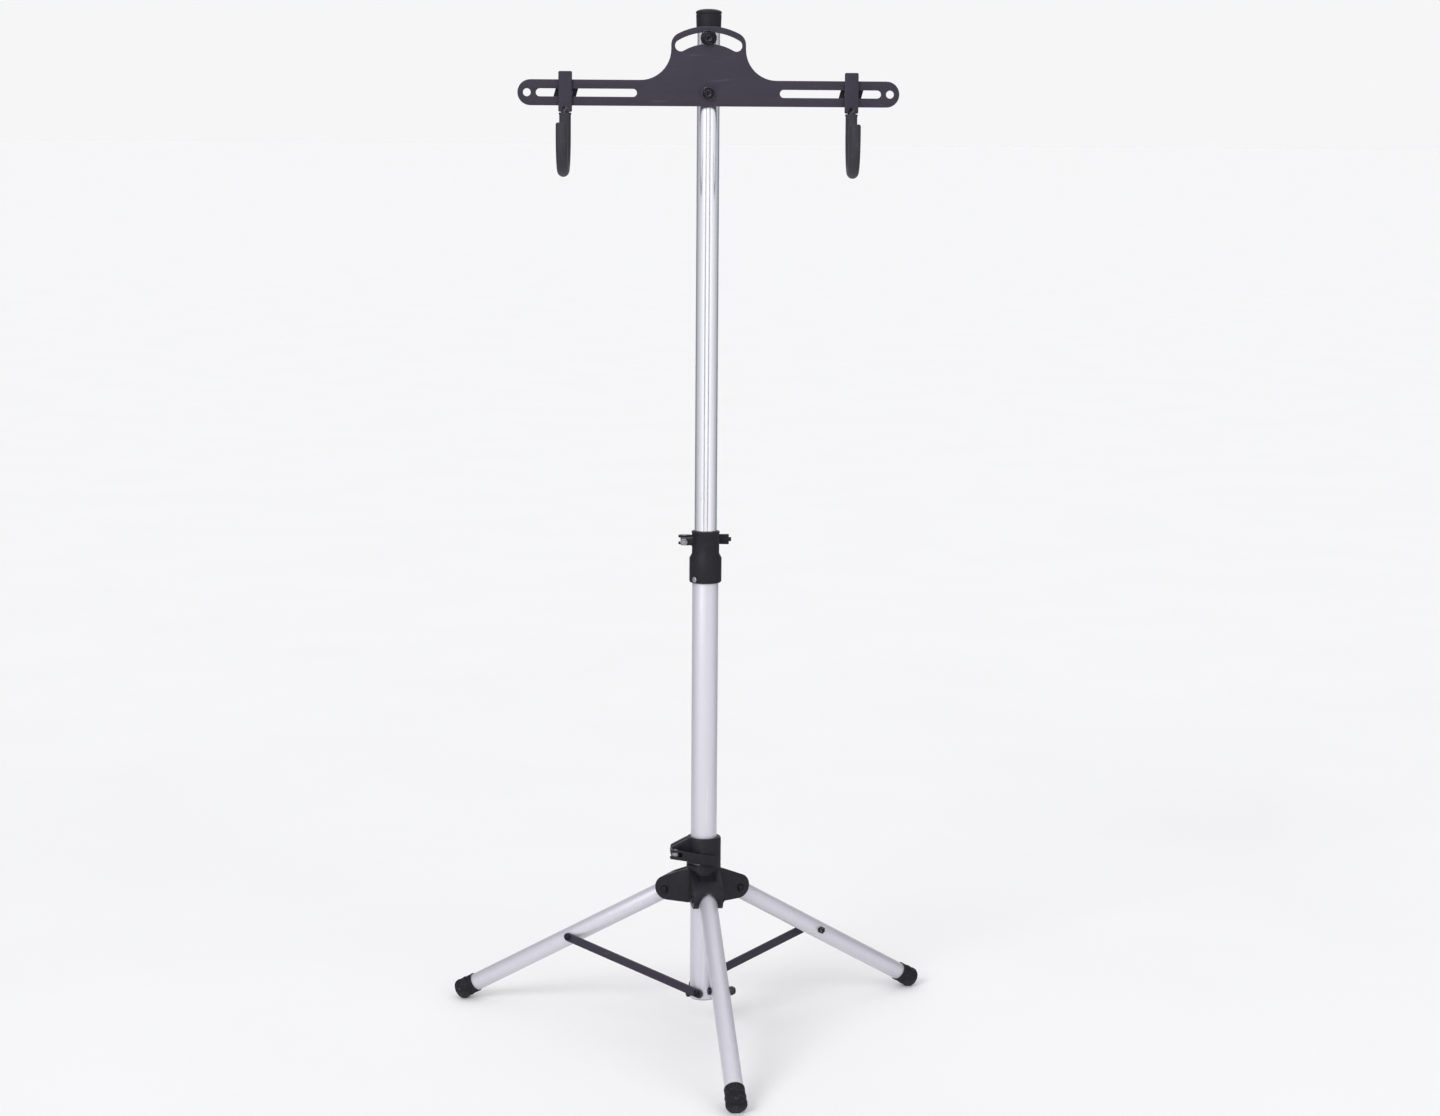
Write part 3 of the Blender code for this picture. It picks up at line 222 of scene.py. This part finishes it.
class Finish:
    """A material in the making. Its patterns lie in the piece's own coordinates."""

    def __init__(self, name):
        self.material = bpy.data.materials.new(name)
        self.material.use_nodes = True
        self.tree = self.material.node_tree
        self.shader = self.tree.nodes["Principled BSDF"]
        self.place = self.node("ShaderNodeTexCoord", output="Object")

    def node(self, kind, settings=None, inputs=None, output=0):
        """A node with its settings made first, and then each input set or linked."""
        made = self.tree.nodes.new(kind)
        for key, value in (settings or {}).items():
            setattr(made, key, value)
        for key, value in (inputs or {}).items():
            self.feed(made.inputs[key], value)
        return Reading(self, made.outputs[output])

    def feed(self, socket, value):
        if isinstance(value, Reading):
            self.tree.links.new(value.socket, socket)
        else:
            socket.default_value = value

    def grain(self, scale, detail=2.0, stretch=(1, 1, 1)):
        """Noise from 0 to 1, with so many grains to the metre."""
        where = self.node("ShaderNodeMapping", None, {"Vector": self.place, "Scale": stretch})
        settings = {"Vector": where, "Scale": scale, "Detail": detail}
        return self.node("ShaderNodeTexNoise", None, settings)

    def cells(self, scale):
        settings = {"Vector": self.place, "Scale": scale}
        return self.node("ShaderNodeTexVoronoi", None, settings)

    def between(self, value, low, high):
        """0 below low, 1 above high, and smooth between them."""
        settings = {"interpolation_type": "SMOOTHSTEP"}
        return self.node(
            "ShaderNodeMapRange", settings, {"Value": value, "From Min": low, "From Max": high}
        )

    def edges(self, reach):
        """Near 1 within reach of a hard edge, and 0 on open surface."""
        rounded = self.node("ShaderNodeBevel", {"samples": 4}, {"Radius": reach})
        normal = self.node("ShaderNodeNewGeometry", output="Normal")
        settings = {"operation": "DOT_PRODUCT"}
        alike = self.node("ShaderNodeVectorMath", settings, {0: rounded, 1: normal}, "Value")
        return self.between(1 - alike, 0.01, 0.16)

    def mix(self, share, first, second):
        """A colour that goes from first to second with share."""
        colours = [c if isinstance(c, Reading) else (*c, 1) for c in (first, second)]
        settings = {"data_type": "RGBA"}
        return self.node("ShaderNodeMix", settings, {0: share, 6: colours[0], 7: colours[1]}, 2)

    def coat(self, colour, roughness, height, rise, metallic=0.0, **others):
        """Sets the surface: height in 0 to 1 stands rise metres proud at most."""
        bump = self.node(
            "ShaderNodeBump", None, {"Strength": 1.0, "Distance": rise, "Height": height}
        )
        self.feed(self.shader.inputs["Base Color"], colour)
        self.feed(self.shader.inputs["Roughness"], roughness)
        self.feed(self.shader.inputs["Metallic"], metallic)
        self.feed(self.shader.inputs["Normal"], bump)
        for key, value in others.items():
            self.feed(self.shader.inputs[key.replace("_", " ")], value)
        return self.material


def painted_silver(name, along):
    """Satin silver paint, with rubs along that direction."""
    paint = Finish(name)
    flake = paint.grain(3200, 1)
    peel = paint.grain(520, 2)
    cloud = paint.grain(11, 3)
    stretch = tuple(1 - 0.94 * abs(c) for c in along)
    rubs = paint.between(paint.grain(210, 4, stretch), 0.60, 0.74)
    tone = paint.mix(flake, (0.545, 0.535, 0.590), (0.690, 0.680, 0.735))
    tone = paint.mix(cloud * 0.22, tone, (0.500, 0.490, 0.560))
    tone = paint.mix(rubs * 0.30, tone, (0.780, 0.780, 0.800))
    gloss = 0.34 + 0.12 * cloud + 0.10 * rubs
    return paint.coat(tone, gloss, peel * 0.7 + flake * 0.3 - rubs * 0.2, 0.00004, 0.45)


def pick(piece):
    """Leaves this as the only selected object, and the active one."""
    bpy.ops.object.select_all(action="DESELECT")
    piece.select_set(True)
    bpy.context.view_layer.objects.active = piece


def settle(piece, place=None):
    """Moves the piece to its place, which goes into its mesh."""
    if place:
        piece.matrix_world = place @ piece.matrix_world
    pick(piece)
    bpy.ops.object.transform_apply(location=True, rotation=True, scale=True)


def modify(piece, kind, **settings):
    """Adds a modifier and applies it."""
    step = piece.modifiers.new(kind.title(), kind)
    for key, value in settings.items():
        setattr(step, key, value)
    pick(piece)
    bpy.ops.object.modifier_apply(modifier=step.name)


def round_off(piece, width, steps=2, angle=32):
    """Rounds the hard edges and shades the rest smooth."""
    corner = math.radians(angle)
    modify(piece, "BEVEL", width=width, segments=steps, limit_method="ANGLE", angle_limit=corner)
    pick(piece)
    bpy.ops.object.shade_smooth_by_angle(angle=corner)


def fit(piece, finish, *replaced):
    """Gives the piece its finish and puts it in the place of those CAD solids."""
    piece.data.materials.clear()
    piece.data.materials.append(finish)
    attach(piece, rides_with[replaced[0]])
    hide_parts(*replaced)
    return piece


def tube(name, radius, wall, low, high, place=None):
    """A drawn tube on Z, open at both ends, its rims deburred."""
    bpy.ops.object.select_all(action="DESELECT")
    bpy.ops.mesh.primitive_cylinder_add(
        vertices=96,
        radius=radius,
        depth=high - low,
        end_fill_type="NOTHING",
        location=(0, 0, (low + high) / 2),
    )
    piece = bpy.context.object
    piece.name = name
    settle(piece)
    modify(piece, "SOLIDIFY", thickness=wall, offset=-1)
    round_off(piece, 0.0003)
    if place:
        settle(piece, place)
    return piece


TUBE_WALL = 0.0015
post_low, post_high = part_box("lower_tube")
post = tube("post_tube", post_high.x, TUBE_WALL, post_low.z, post_high.z)
fit(post, painted_silver("post_silver_paint", (0, 0, 1)), "lower_tube")

# ---- Mast ----
# The upper tube is bright aluminium, drawn and brushed along its length under a clear anodised
# skin. Fine streaks run down it, and the collar has left it a little duller where it slides.

MAST_TONES = (0.80, 0.80, 0.835), (0.96, 0.96, 0.985)


def brushed_aluminium():
    metal = Finish("brushed_mast_aluminium")
    streaks = metal.grain(900, 4, (1, 1, 0.012))
    broad = metal.grain(150, 3, (1, 1, 0.03))
    cloud = metal.grain(8, 3)
    marks = metal.between(metal.grain(260, 5, (1, 1, 0.25)), 0.64, 0.76)
    tone = metal.mix(streaks * 0.6 + broad * 0.4, *MAST_TONES)
    tone = metal.mix(marks * 0.22, tone, (0.52, 0.52, 0.56))
    gloss = 0.11 + 0.06 * streaks + 0.05 * cloud + 0.10 * marks
    return metal.coat(tone, gloss, streaks - marks * 0.3, 0.000008, 0.95)


mast_low, mast_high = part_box("upper_tube")
mast = tube("mast_tube", mast_high.x, TUBE_WALL, mast_low.z, mast_high.z)
fit(mast, brushed_aluminium(), "upper_tube")

# ---- Black mouldings ----
# The height collar, the tripod hub, the saddles, the top cap and the plugs are injection-moulded
# nylon: a fine spark-eroded grain, flow marks, and edges rubbed a little smooth and pale.


def moulded_nylon(name, dark, pale, gloss_floor=0.42):
    nylon = Finish(name)
    pits = nylon.cells(1500)
    sand = nylon.grain(2600, 2)
    flow = nylon.grain(28, 4, (1, 1, 0.5))
    dust = nylon.between(nylon.grain(160, 5), 0.56, 0.78)
    worn = nylon.edges(0.0009)
    tone = nylon.mix(flow * 0.7 + sand * 0.3, dark, pale)
    tone = nylon.mix(dust * 0.07, tone, (0.11, 0.105, 0.12))
    tone = nylon.mix(worn * 0.35, tone, (0.080, 0.076, 0.092))
    gloss = gloss_floor + 0.14 * flow + 0.10 * dust - 0.10 * worn
    relief = pits * 0.6 + sand * 0.4
    return nylon.coat(tone, gloss, relief, 0.00006, Specular_IOR_Level=0.22)


SAME_POINT = 0.00001


def dress(node, name, finish, width=0.0004, steps=2):
    """A finished copy of a CAD solid: its triangles joined up and its hard edges rounded."""
    piece = bpy.data.objects.new(name, nodes[node].data.copy())
    bpy.context.scene.collection.objects.link(piece)
    pick(piece)
    bpy.ops.object.mode_set(mode="EDIT")
    bpy.ops.mesh.select_all(action="SELECT")
    bpy.ops.mesh.remove_doubles(threshold=SAME_POINT)
    bpy.ops.mesh.dissolve_limited(angle_limit=math.radians(0.5))
    bpy.ops.object.mode_set(mode="OBJECT")
    round_off(piece, width, steps)
    return fit(piece, finish, node)


black_nylon = moulded_nylon("black_nylon", (0.007, 0.0066, 0.011), (0.014, 0.013, 0.020))
dress("height_collar", "height_collar_moulding", black_nylon, 0.0005)
dress("mast_end_plug", "mast_glide", black_nylon)
dress("pivot_saddle", "pivot_saddle_moulding", black_nylon)
dress("arc_saddle", "arc_saddle_moulding", black_nylon)

# ---- Top cap ----
# A push-on cap over the mast's end, moulded in one: a tapered skirt with a thin bead at its
# mouth, a shallow groove under the crown, and a low domed top.


def turn_up(name, profile, sides=96):
    """A piece turned on Z, ring by ring, from (radius, height) points that start with its base."""
    radius, height = profile[0]
    bpy.ops.object.select_all(action="DESELECT")
    bpy.ops.mesh.primitive_circle_add(
        vertices=sides, radius=radius, fill_type="NGON", location=(0, 0, height)
    )
    piece = bpy.context.object
    piece.name = name
    settle(piece)
    bpy.ops.object.mode_set(mode="EDIT")
    bpy.ops.mesh.select_all(action="SELECT")
    for next_radius, next_height in profile[1:]:
        rise = (0, 0, next_height - height)
        bpy.ops.mesh.extrude_region_move(TRANSFORM_OT_translate={"value": rise})
        share = next_radius / radius
        bpy.ops.transform.resize(value=(share, share, 1), center_override=(0, 0, next_height))
        radius, height = next_radius, next_height
    bpy.ops.mesh.select_all(action="SELECT")
    bpy.ops.mesh.normals_make_consistent(inside=False)
    bpy.ops.object.mode_set(mode="OBJECT")
    return piece


cap_low, cap_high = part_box("top_cap")
crown, mouth = cap_high.z, cap_low.z
cap_radius, mast_radius = cap_high.x, mast_high.x
top_cap = turn_up(
    "top_cap_moulding",
    [  # from inside the skirt, round its bead and up over the groove to the crown
        (mast_radius + 0.0003, mast_high.z + 0.0003),
        (mast_radius + 0.0003, mouth),
        (mast_radius + 0.0012, mouth),
        (mast_radius + 0.0012, mouth + 0.0014),
        (mast_radius + 0.0008, mouth + 0.0020),
        (cap_radius - 0.0003, crown - 0.0072),
        (cap_radius - 0.0007, crown - 0.0067),
        (cap_radius - 0.0007, crown - 0.0060),
        (cap_radius, crown - 0.0055),
        (cap_radius, crown - 0.0037),
        (cap_radius - 0.0006, crown - 0.0028),
        (cap_radius - 0.0020, crown - 0.0019),
        (cap_radius * 0.66, crown - 0.0008),
        (cap_radius * 0.33, crown - 0.0001),
        (cap_radius * 0.08, crown),
    ],
)
round_off(top_cap, 0.0002)
fit(top_cap, black_nylon, "top_cap")

# ---- Bolts, nuts, washers and the rivet ----
# Cold-headed steel, black zinc plated where it holds the plate and the legs, and bright zinc
# plated in the clamps. The plating is uneven, and its corners are paler: partly rubbed through,
# and partly a painted highlight that draws a light ring round each bolt head and washer.


def zinc_plate(name, dull, bright, edge_wear_and_highlight):
    plate = Finish(name)
    cloud = plate.grain(190, 4)
    pits = plate.grain(2400, 3)
    worn = plate.edges(0.0008)
    scuffs = plate.between(plate.grain(640, 4, (1, 0.3, 1)), 0.58, 0.70)
    tone = plate.mix(cloud, dull, bright)
    # Corners go to the pale edge colour: rubbed-through plating, and partly a painted highlight on the rounded
    # edges.
    tone = plate.mix(worn * 0.80 + scuffs * 0.15, tone, edge_wear_and_highlight)
    gloss = 0.30 + 0.16 * cloud + 0.08 * pits - 0.06 * worn
    return plate.coat(tone, gloss, pits * 0.8 + scuffs * 0.2, 0.00003, 0.9, Specular_IOR_Level=0.35)


# The black zinc's pale edge colour is partly a painted highlight, the light ring round each bolt head and washer.
black_zinc = zinc_plate(
    "black_zinc", (0.010, 0.0095, 0.013), (0.026, 0.025, 0.032), (0.42, 0.42, 0.47)
)
bright_zinc = zinc_plate(
    "bright_zinc", (0.22, 0.22, 0.235), (0.38, 0.38, 0.39), (0.60, 0.60, 0.62)
)
PLATED_CORNER = 0.00025
SIDES = ("front", "left", "right")
black_fastenings = ["pivot_bolt", "pivot_washer", "pivot_nut", "arc_bolt", "arc_washer", "arc_nut"]
black_fastenings += ["slot_washer_left", "slot_washer_right"]
for kind in ("post_bolt", "post_nut", "leg_pivot_bolt", "leg_brace_bolt", "brace_bolt_head"):
    black_fastenings += [f"{kind}_{side}" for side in SIDES]
for node in black_fastenings:
    dress(node, f"{node}_plated", black_zinc, PLATED_CORNER)
bright_fastenings = ["collar_rivet", "collar_clamp_bolt", "collar_clamp_nut", "collar_lever_pin"]
bright_fastenings += ["hub_clamp_bolt", "hub_clamp_nut", "hub_lever_pin"]
for node in bright_fastenings:
    dress(node, f"{node}_plated", bright_zinc, PLATED_CORNER)

# ---- Head plate and braces ----
# Flat steel, laser cut, its edges broken, then powder coated black: a close pebbled skin, with
# the coat thin and rubbed along the edges and faint marks where the straps slide.


def powder_coat(name):
    coat = Finish(name)
    pebbles = coat.cells(1150)
    fine = coat.grain(1900, 3)
    cloud = coat.grain(22, 3)
    worn = coat.edges(0.0010)
    slides = coat.between(coat.grain(170, 5, (0.12, 1, 1)), 0.62, 0.76)
    tone = coat.mix(cloud * 0.6 + fine * 0.4, (0.026, 0.022, 0.036), (0.044, 0.039, 0.058))
    tone = coat.mix(slides * 0.16, tone, (0.16, 0.155, 0.18))
    tone = coat.mix(worn * 0.40, tone, (0.20, 0.195, 0.22))
    gloss = 0.40 + 0.14 * cloud + 0.10 * slides - 0.08 * worn
    relief = pebbles * 0.7 + fine * 0.3
    return coat.coat(tone, gloss, relief, 0.00009, Specular_IOR_Level=0.17)


coated_steel = powder_coat("black_powder_coat")
dress("head_plate", "head_plate_coated", coated_steel, 0.0006, 3)
for side in SIDES:
    dress(f"brace_{side}", f"brace_bar_{side}", coated_steel)

# ---- Hooks ----
# Each is a 10 mm steel bar, forged out at its upper end into a flat strap and bent into a U
# below. A soft rubber sleeve is pushed on over it, with a rolled lip and a closed rounded tip.

ROD_RADIUS, SLEEVE_RADIUS, LIP_RADIUS = 0.0050, 0.0070, 0.0076
BEND_RADIUS, BEND_DROP, TIP_DROP, MOUTH_DROP = 0.0440, 0.0486, 0.0358, 0.0238
ROD_ROOT_DROP, ROD_FULL_DROP, STRAP_FOOT_DROP = 0.0155, 0.0225, 0.0230
ROD_IN_SLEEVE = 0.008
STRAP_HALF_WIDTH, STRAP_THICK, STRAP_CORNER = 0.0082, 0.0045, 0.0018
FORGING = ((0.25, 0.96), (0.35, 0.80), (0.40, 0.45))  # shares of the taper, and their narrowing
joints = {joint["name"]: joint for joint in frame["joints"]}


def soft_rubber():
    rubber = Finish("hook_rubber")
    tooth = rubber.grain(1700, 3)
    sweep = rubber.grain(60, 4)
    chalk = rubber.between(rubber.grain(240, 5), 0.56, 0.76)
    tone = rubber.mix(sweep, (0.020, 0.018, 0.027), (0.036, 0.033, 0.045))
    tone = rubber.mix(chalk * 0.14, tone, (0.13, 0.125, 0.14))
    gloss = 0.50 + 0.18 * sweep + 0.10 * chalk
    return rubber.coat(tone, gloss, tooth, 0.00007, Specular_IOR_Level=0.30)


def sweep_rings(piece, profile, across):
    """Extrudes the selected ring by (radius, height) points, about a centre at across."""
    radius, height = profile[0]
    for next_radius, next_height in profile[1:]:
        rise = (0, 0, next_height - height)
        bpy.ops.mesh.extrude_region_move(TRANSFORM_OT_translate={"value": rise})
        share = next_radius / radius
        centre = (across[0], across[1], next_height)
        bpy.ops.transform.resize(value=(share, share, 1), center_override=centre)
        radius, height = next_radius, next_height


def rubber_sleeve(name, stud, rod_y):
    """The sleeve, from its lip down round the bend and up to its closed tip."""
    lip = stud.z - MOUTH_DROP
    bend = stud.z - BEND_DROP
    tip = stud.z - TIP_DROP
    bpy.ops.object.select_all(action="DESELECT")
    bpy.ops.mesh.primitive_circle_add(
        vertices=40,
        radius=ROD_RADIUS + 0.0003,
        fill_type="NGON",
        location=(stud.x, rod_y, lip - 0.003),
    )
    piece = bpy.context.object
    piece.name = name
    settle(piece)
    bpy.ops.object.mode_set(mode="EDIT")
    bpy.ops.mesh.select_all(action="SELECT")
    mouth_shape = [
        (ROD_RADIUS + 0.0003, lip - 0.003),
        (ROD_RADIUS + 0.0003, lip - 0.0004),
        (ROD_RADIUS + 0.0008, lip),
        (LIP_RADIUS - 0.0006, lip),
        (LIP_RADIUS, lip - 0.0006),
        (LIP_RADIUS, lip - 0.0018),
        (SLEEVE_RADIUS + 0.0001, lip - 0.0025),
        (SLEEVE_RADIUS, lip - 0.0034),
        (SLEEVE_RADIUS, bend),
    ]
    sweep_rings(piece, mouth_shape, (stud.x, rod_y))
    middle = (stud.x, rod_y - BEND_RADIUS, bend)
    bpy.ops.mesh.spin(steps=48, angle=math.pi, center=middle, axis=(1, 0, 0))
    tip_shape = [
        (SLEEVE_RADIUS, bend),
        (SLEEVE_RADIUS, tip - 0.0024),
        (SLEEVE_RADIUS - 0.0003, tip - 0.0014),
        (SLEEVE_RADIUS - 0.0010, tip - 0.0006),
        (SLEEVE_RADIUS - 0.0022, tip - 0.0001),
        (0.0012, tip),
    ]
    sweep_rings(piece, tip_shape, (stud.x, rod_y - 2 * BEND_RADIUS))
    bpy.ops.mesh.select_all(action="SELECT")
    bpy.ops.mesh.remove_doubles(threshold=SAME_POINT)
    bpy.ops.mesh.normals_make_consistent(inside=False)
    bpy.ops.object.mode_set(mode="OBJECT")
    pick(piece)
    bpy.ops.object.shade_smooth_by_angle(angle=math.radians(50))
    return piece


def hook_strap(name, box, stud):
    """The flat strap that holds the stud, its corners rounded."""
    high = box[1]
    foot = stud.z - STRAP_FOOT_DROP
    front = high.y - STRAP_THICK
    bpy.ops.object.select_all(action="DESELECT")
    bpy.ops.mesh.primitive_cube_add(
        size=1,
        location=(stud.x, (front + high.y) / 2, (foot + high.z) / 2),
        scale=(2 * STRAP_HALF_WIDTH, STRAP_THICK, high.z - foot),
    )
    piece = bpy.context.object
    piece.name = name
    settle(piece)
    bpy.ops.object.mode_set(mode="EDIT")
    bpy.ops.mesh.select_all(action="DESELECT")
    bpy.ops.object.mode_set(mode="OBJECT")
    for edge in piece.data.edges:
        ends = [piece.data.vertices[v].co for v in edge.vertices]
        edge.select = abs(ends[0].y - ends[1].y) > 0.001
    bpy.ops.object.mode_set(mode="EDIT")
    bpy.ops.mesh.select_mode(type="EDGE")
    bpy.ops.mesh.bevel(offset=STRAP_CORNER, segments=6, affect="EDGES")
    bpy.ops.object.mode_set(mode="OBJECT")
    round_off(piece, 0.0005, 3)
    return piece


def hook_rod(name, stud, rod_y, strap_y):
    """The round of the bar between the strap and the sleeve, and its forged taper into the strap."""
    full = stud.z - ROD_FULL_DROP
    shape = [(ROD_RADIUS, stud.z - MOUTH_DROP - ROD_IN_SLEEVE), (ROD_RADIUS, full)]
    piece = turn_up(name, shape, 48)
    settle(piece, Matrix.Translation((stud.x, rod_y, 0)))
    for face in piece.data.polygons:
        face.select = face.normal.z > 0.9
    bpy.ops.object.mode_set(mode="EDIT")
    bpy.ops.mesh.select_mode(type="FACE")
    bpy.ops.object.mode_set(mode="OBJECT")
    for face in piece.data.polygons:
        face.select = face.normal.z > 0.9
    bpy.ops.object.mode_set(mode="EDIT")
    height, y = full, rod_y
    for share, narrowing in FORGING:
        rise = (0, share * (strap_y - rod_y), share * (ROD_FULL_DROP - ROD_ROOT_DROP))
        bpy.ops.mesh.extrude_region_move(TRANSFORM_OT_translate={"value": rise})
        height, y = height + rise[2], y + rise[1]
        bpy.ops.transform.resize(
            value=(narrowing, narrowing, 1), center_override=(stud.x, y, height)
        )
    bpy.ops.mesh.select_all(action="SELECT")
    bpy.ops.mesh.normals_make_consistent(inside=False)
    bpy.ops.object.mode_set(mode="OBJECT")
    pick(piece)
    bpy.ops.object.shade_smooth_by_angle(angle=math.radians(40))
    return piece


hook_rubber = soft_rubber()
for side in ("left", "right"):
    stud = Vector(joints[f"hook_swivel_{side}"]["pos_m"])
    strap_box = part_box(f"hook_bar_{side}")
    rod_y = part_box(f"hook_sleeve_{side}")[1].y - LIP_RADIUS
    strap = hook_strap(f"hook_strap_{side}", strap_box, stud)
    fit(strap, coated_steel, f"hook_bar_{side}")
    rod = hook_rod(f"hook_rod_{side}", stud, rod_y, strap_box[1].y - STRAP_THICK / 2)
    fit(rod, coated_steel, f"hook_bar_{side}")
    sleeve = rubber_sleeve(f"hook_rubber_{side}", stud, rod_y)
    fit(sleeve, hook_rubber, f"hook_sleeve_{side}")
    dress(f"hook_stud_{side}", f"hook_stud_{side}_plated", black_zinc, PLATED_CORNER)
    dress(f"hook_knob_{side}", f"hook_knob_{side}_moulding", black_nylon, 0.0012, 4)

# ---- Tripod hub ----
# One nylon moulding: a split collar round the post and three yokes.

dress("tripod_hub", "tripod_hub_moulding", black_nylon, 0.0006)

# ---- Cam levers ----
# Glass-filled nylon levers with a forked cam at the pin, smoother and a touch glossier than the
# mouldings that they clamp.

lever_nylon = moulded_nylon("lever_nylon", (0.0065, 0.006, 0.009), (0.013, 0.012, 0.017), 0.36)
dress("hub_cam_lever", "hub_lever_moulding", lever_nylon, 0.0006)
dress("collar_cam_lever", "collar_lever_moulding", lever_nylon, 0.0006)

# ---- Post end plug ----
# A light grey moulded plug pushed into the foot of the post and held by the brace bolts.

grey_nylon = moulded_nylon("grey_nylon", (0.36, 0.36, 0.39), (0.48, 0.48, 0.52))
dress("post_end_plug", "post_end_plug_moulding", grey_nylon)

# ---- Legs ----
# Three drawn steel tubes, painted like the post and cut square at both ends. Each runs down
# from its pivot in the hub's yoke to the rubber cap that it stands in.

LEG_WALL = 0.0013
LEG_RADIUS = 0.0110
LEG_TOP, LEG_BOTTOM = -0.0085, 0.3353  # its ends, from the pivot along it
LEG_REACH = 0.3396  # from the pivot to the sole of the cap
RANGE_MARGIN = 0.01  # degrees that the fold's range runs past upright


def leg_frame(side):
    """The leg's own frame: +Z from its pivot down along the leg."""
    joint = joints[f"leg_fold_{side}"]
    outward = Vector(joint["axis"]).cross(Vector((0, 0, 1)))
    slope = math.pi / 2 - math.radians(joint["range_deg"][1] - RANGE_MARGIN)
    along = math.cos(slope) * outward - math.sin(slope) * Vector((0, 0, 1))
    aside = Vector(joint["axis"])
    up = along.cross(aside)
    turned = Matrix((up, aside, along)).transposed().to_4x4()
    return Matrix.Translation(joint["pos_m"]) @ turned


for side in SIDES:
    leg = tube(f"leg_{side}", LEG_RADIUS, LEG_WALL, LEG_TOP, LEG_BOTTOM, leg_frame(side))
    paint = painted_silver(f"leg_silver_paint_{side}", (0, 0, 0))
    fit(leg, paint, f"leg_tube_{side}")

# ---- Feet ----
# Thick rubber caps pushed over the legs, with a rolled mouth, a gripping rib and a worn flat
# where each one stands on the floor.


def foot_rubber():
    rubber = Finish("foot_rubber")
    tooth = rubber.grain(1500, 3)
    patches = rubber.grain(90, 4)
    dust = rubber.between(rubber.grain(300, 5), 0.52, 0.74)
    low = rubber.node("ShaderNodeSeparateXYZ", None, {0: rubber.place}, "Z")
    near_floor = 1 - rubber.between(low, floor_height, floor_height + 0.014)
    tone = rubber.mix(patches, (0.007, 0.007, 0.010), (0.018, 0.017, 0.023))
    tone = rubber.mix(dust * 0.16 + near_floor * 0.14, tone, (0.18, 0.17, 0.17))
    gloss = 0.56 + 0.18 * patches + 0.10 * dust
    return rubber.coat(tone, gloss, tooth, 0.00008, Specular_IOR_Level=0.14)


foot_finish = foot_rubber()
FOOT_SHAPE = [  # (radius, height) from inside the mouth, over its rim and the rib, to the sole
    (LEG_RADIUS + 0.0003, -0.0045),
    (LEG_RADIUS + 0.0003, -0.0276),
    (LEG_RADIUS + 0.0006, -0.0280),
    (0.0117, -0.0280),
    (0.0121, -0.0276),
    (0.0122, -0.0262),
    (0.0120, -0.0254),
    (0.0120, -0.0162),
    (0.0122, -0.0158),
    (0.0126, -0.0154),
    (0.0127, -0.0147),
    (0.0126, -0.0140),
    (0.0122, -0.0136),
    (0.0121, -0.0130),
    (0.0124, -0.0080),
    (0.0127, -0.0062),
    (0.0128, -0.0050),
    (0.0126, -0.0032),
    (0.0119, -0.0017),
    (0.0108, -0.0007),
    (0.0092, -0.0001),
    (0.0078, 0.0),
    (0.0070, -0.0004),
    (0.0010, -0.0004),
]
for side in SIDES:
    foot = turn_up(f"foot_{side}", FOOT_SHAPE, 72)
    settle(foot, leg_frame(side) @ Matrix.Translation((0, 0, LEG_REACH)))
    bpy.ops.object.mode_set(mode="EDIT")
    bpy.ops.mesh.select_all(action="SELECT")
    bpy.ops.mesh.bisect(
        plane_co=(0, 0, floor_height), plane_no=(0, 0, -1), use_fill=True, clear_outer=True
    )
    bpy.ops.mesh.select_all(action="SELECT")
    bpy.ops.mesh.normals_make_consistent(inside=False)
    bpy.ops.object.mode_set(mode="OBJECT")
    pick(foot)
    bpy.ops.object.shade_smooth_by_angle(angle=math.radians(35))
    fit(foot, foot_finish, f"foot_cap_{side}")

# ---- Floor ----
# Plain pale studio floor with the faintest mottling, so that the feet's shadows read.

floor_finish = Finish("pale_floor")
mottle = floor_finish.grain(3, 3)
pale = floor_finish.mix(mottle, (0.90, 0.90, 0.90), (0.93, 0.93, 0.93))
studio_floor.data.materials.append(floor_finish.coat(pale, 0.7 + 0.1 * mottle, mottle, 0.0001))
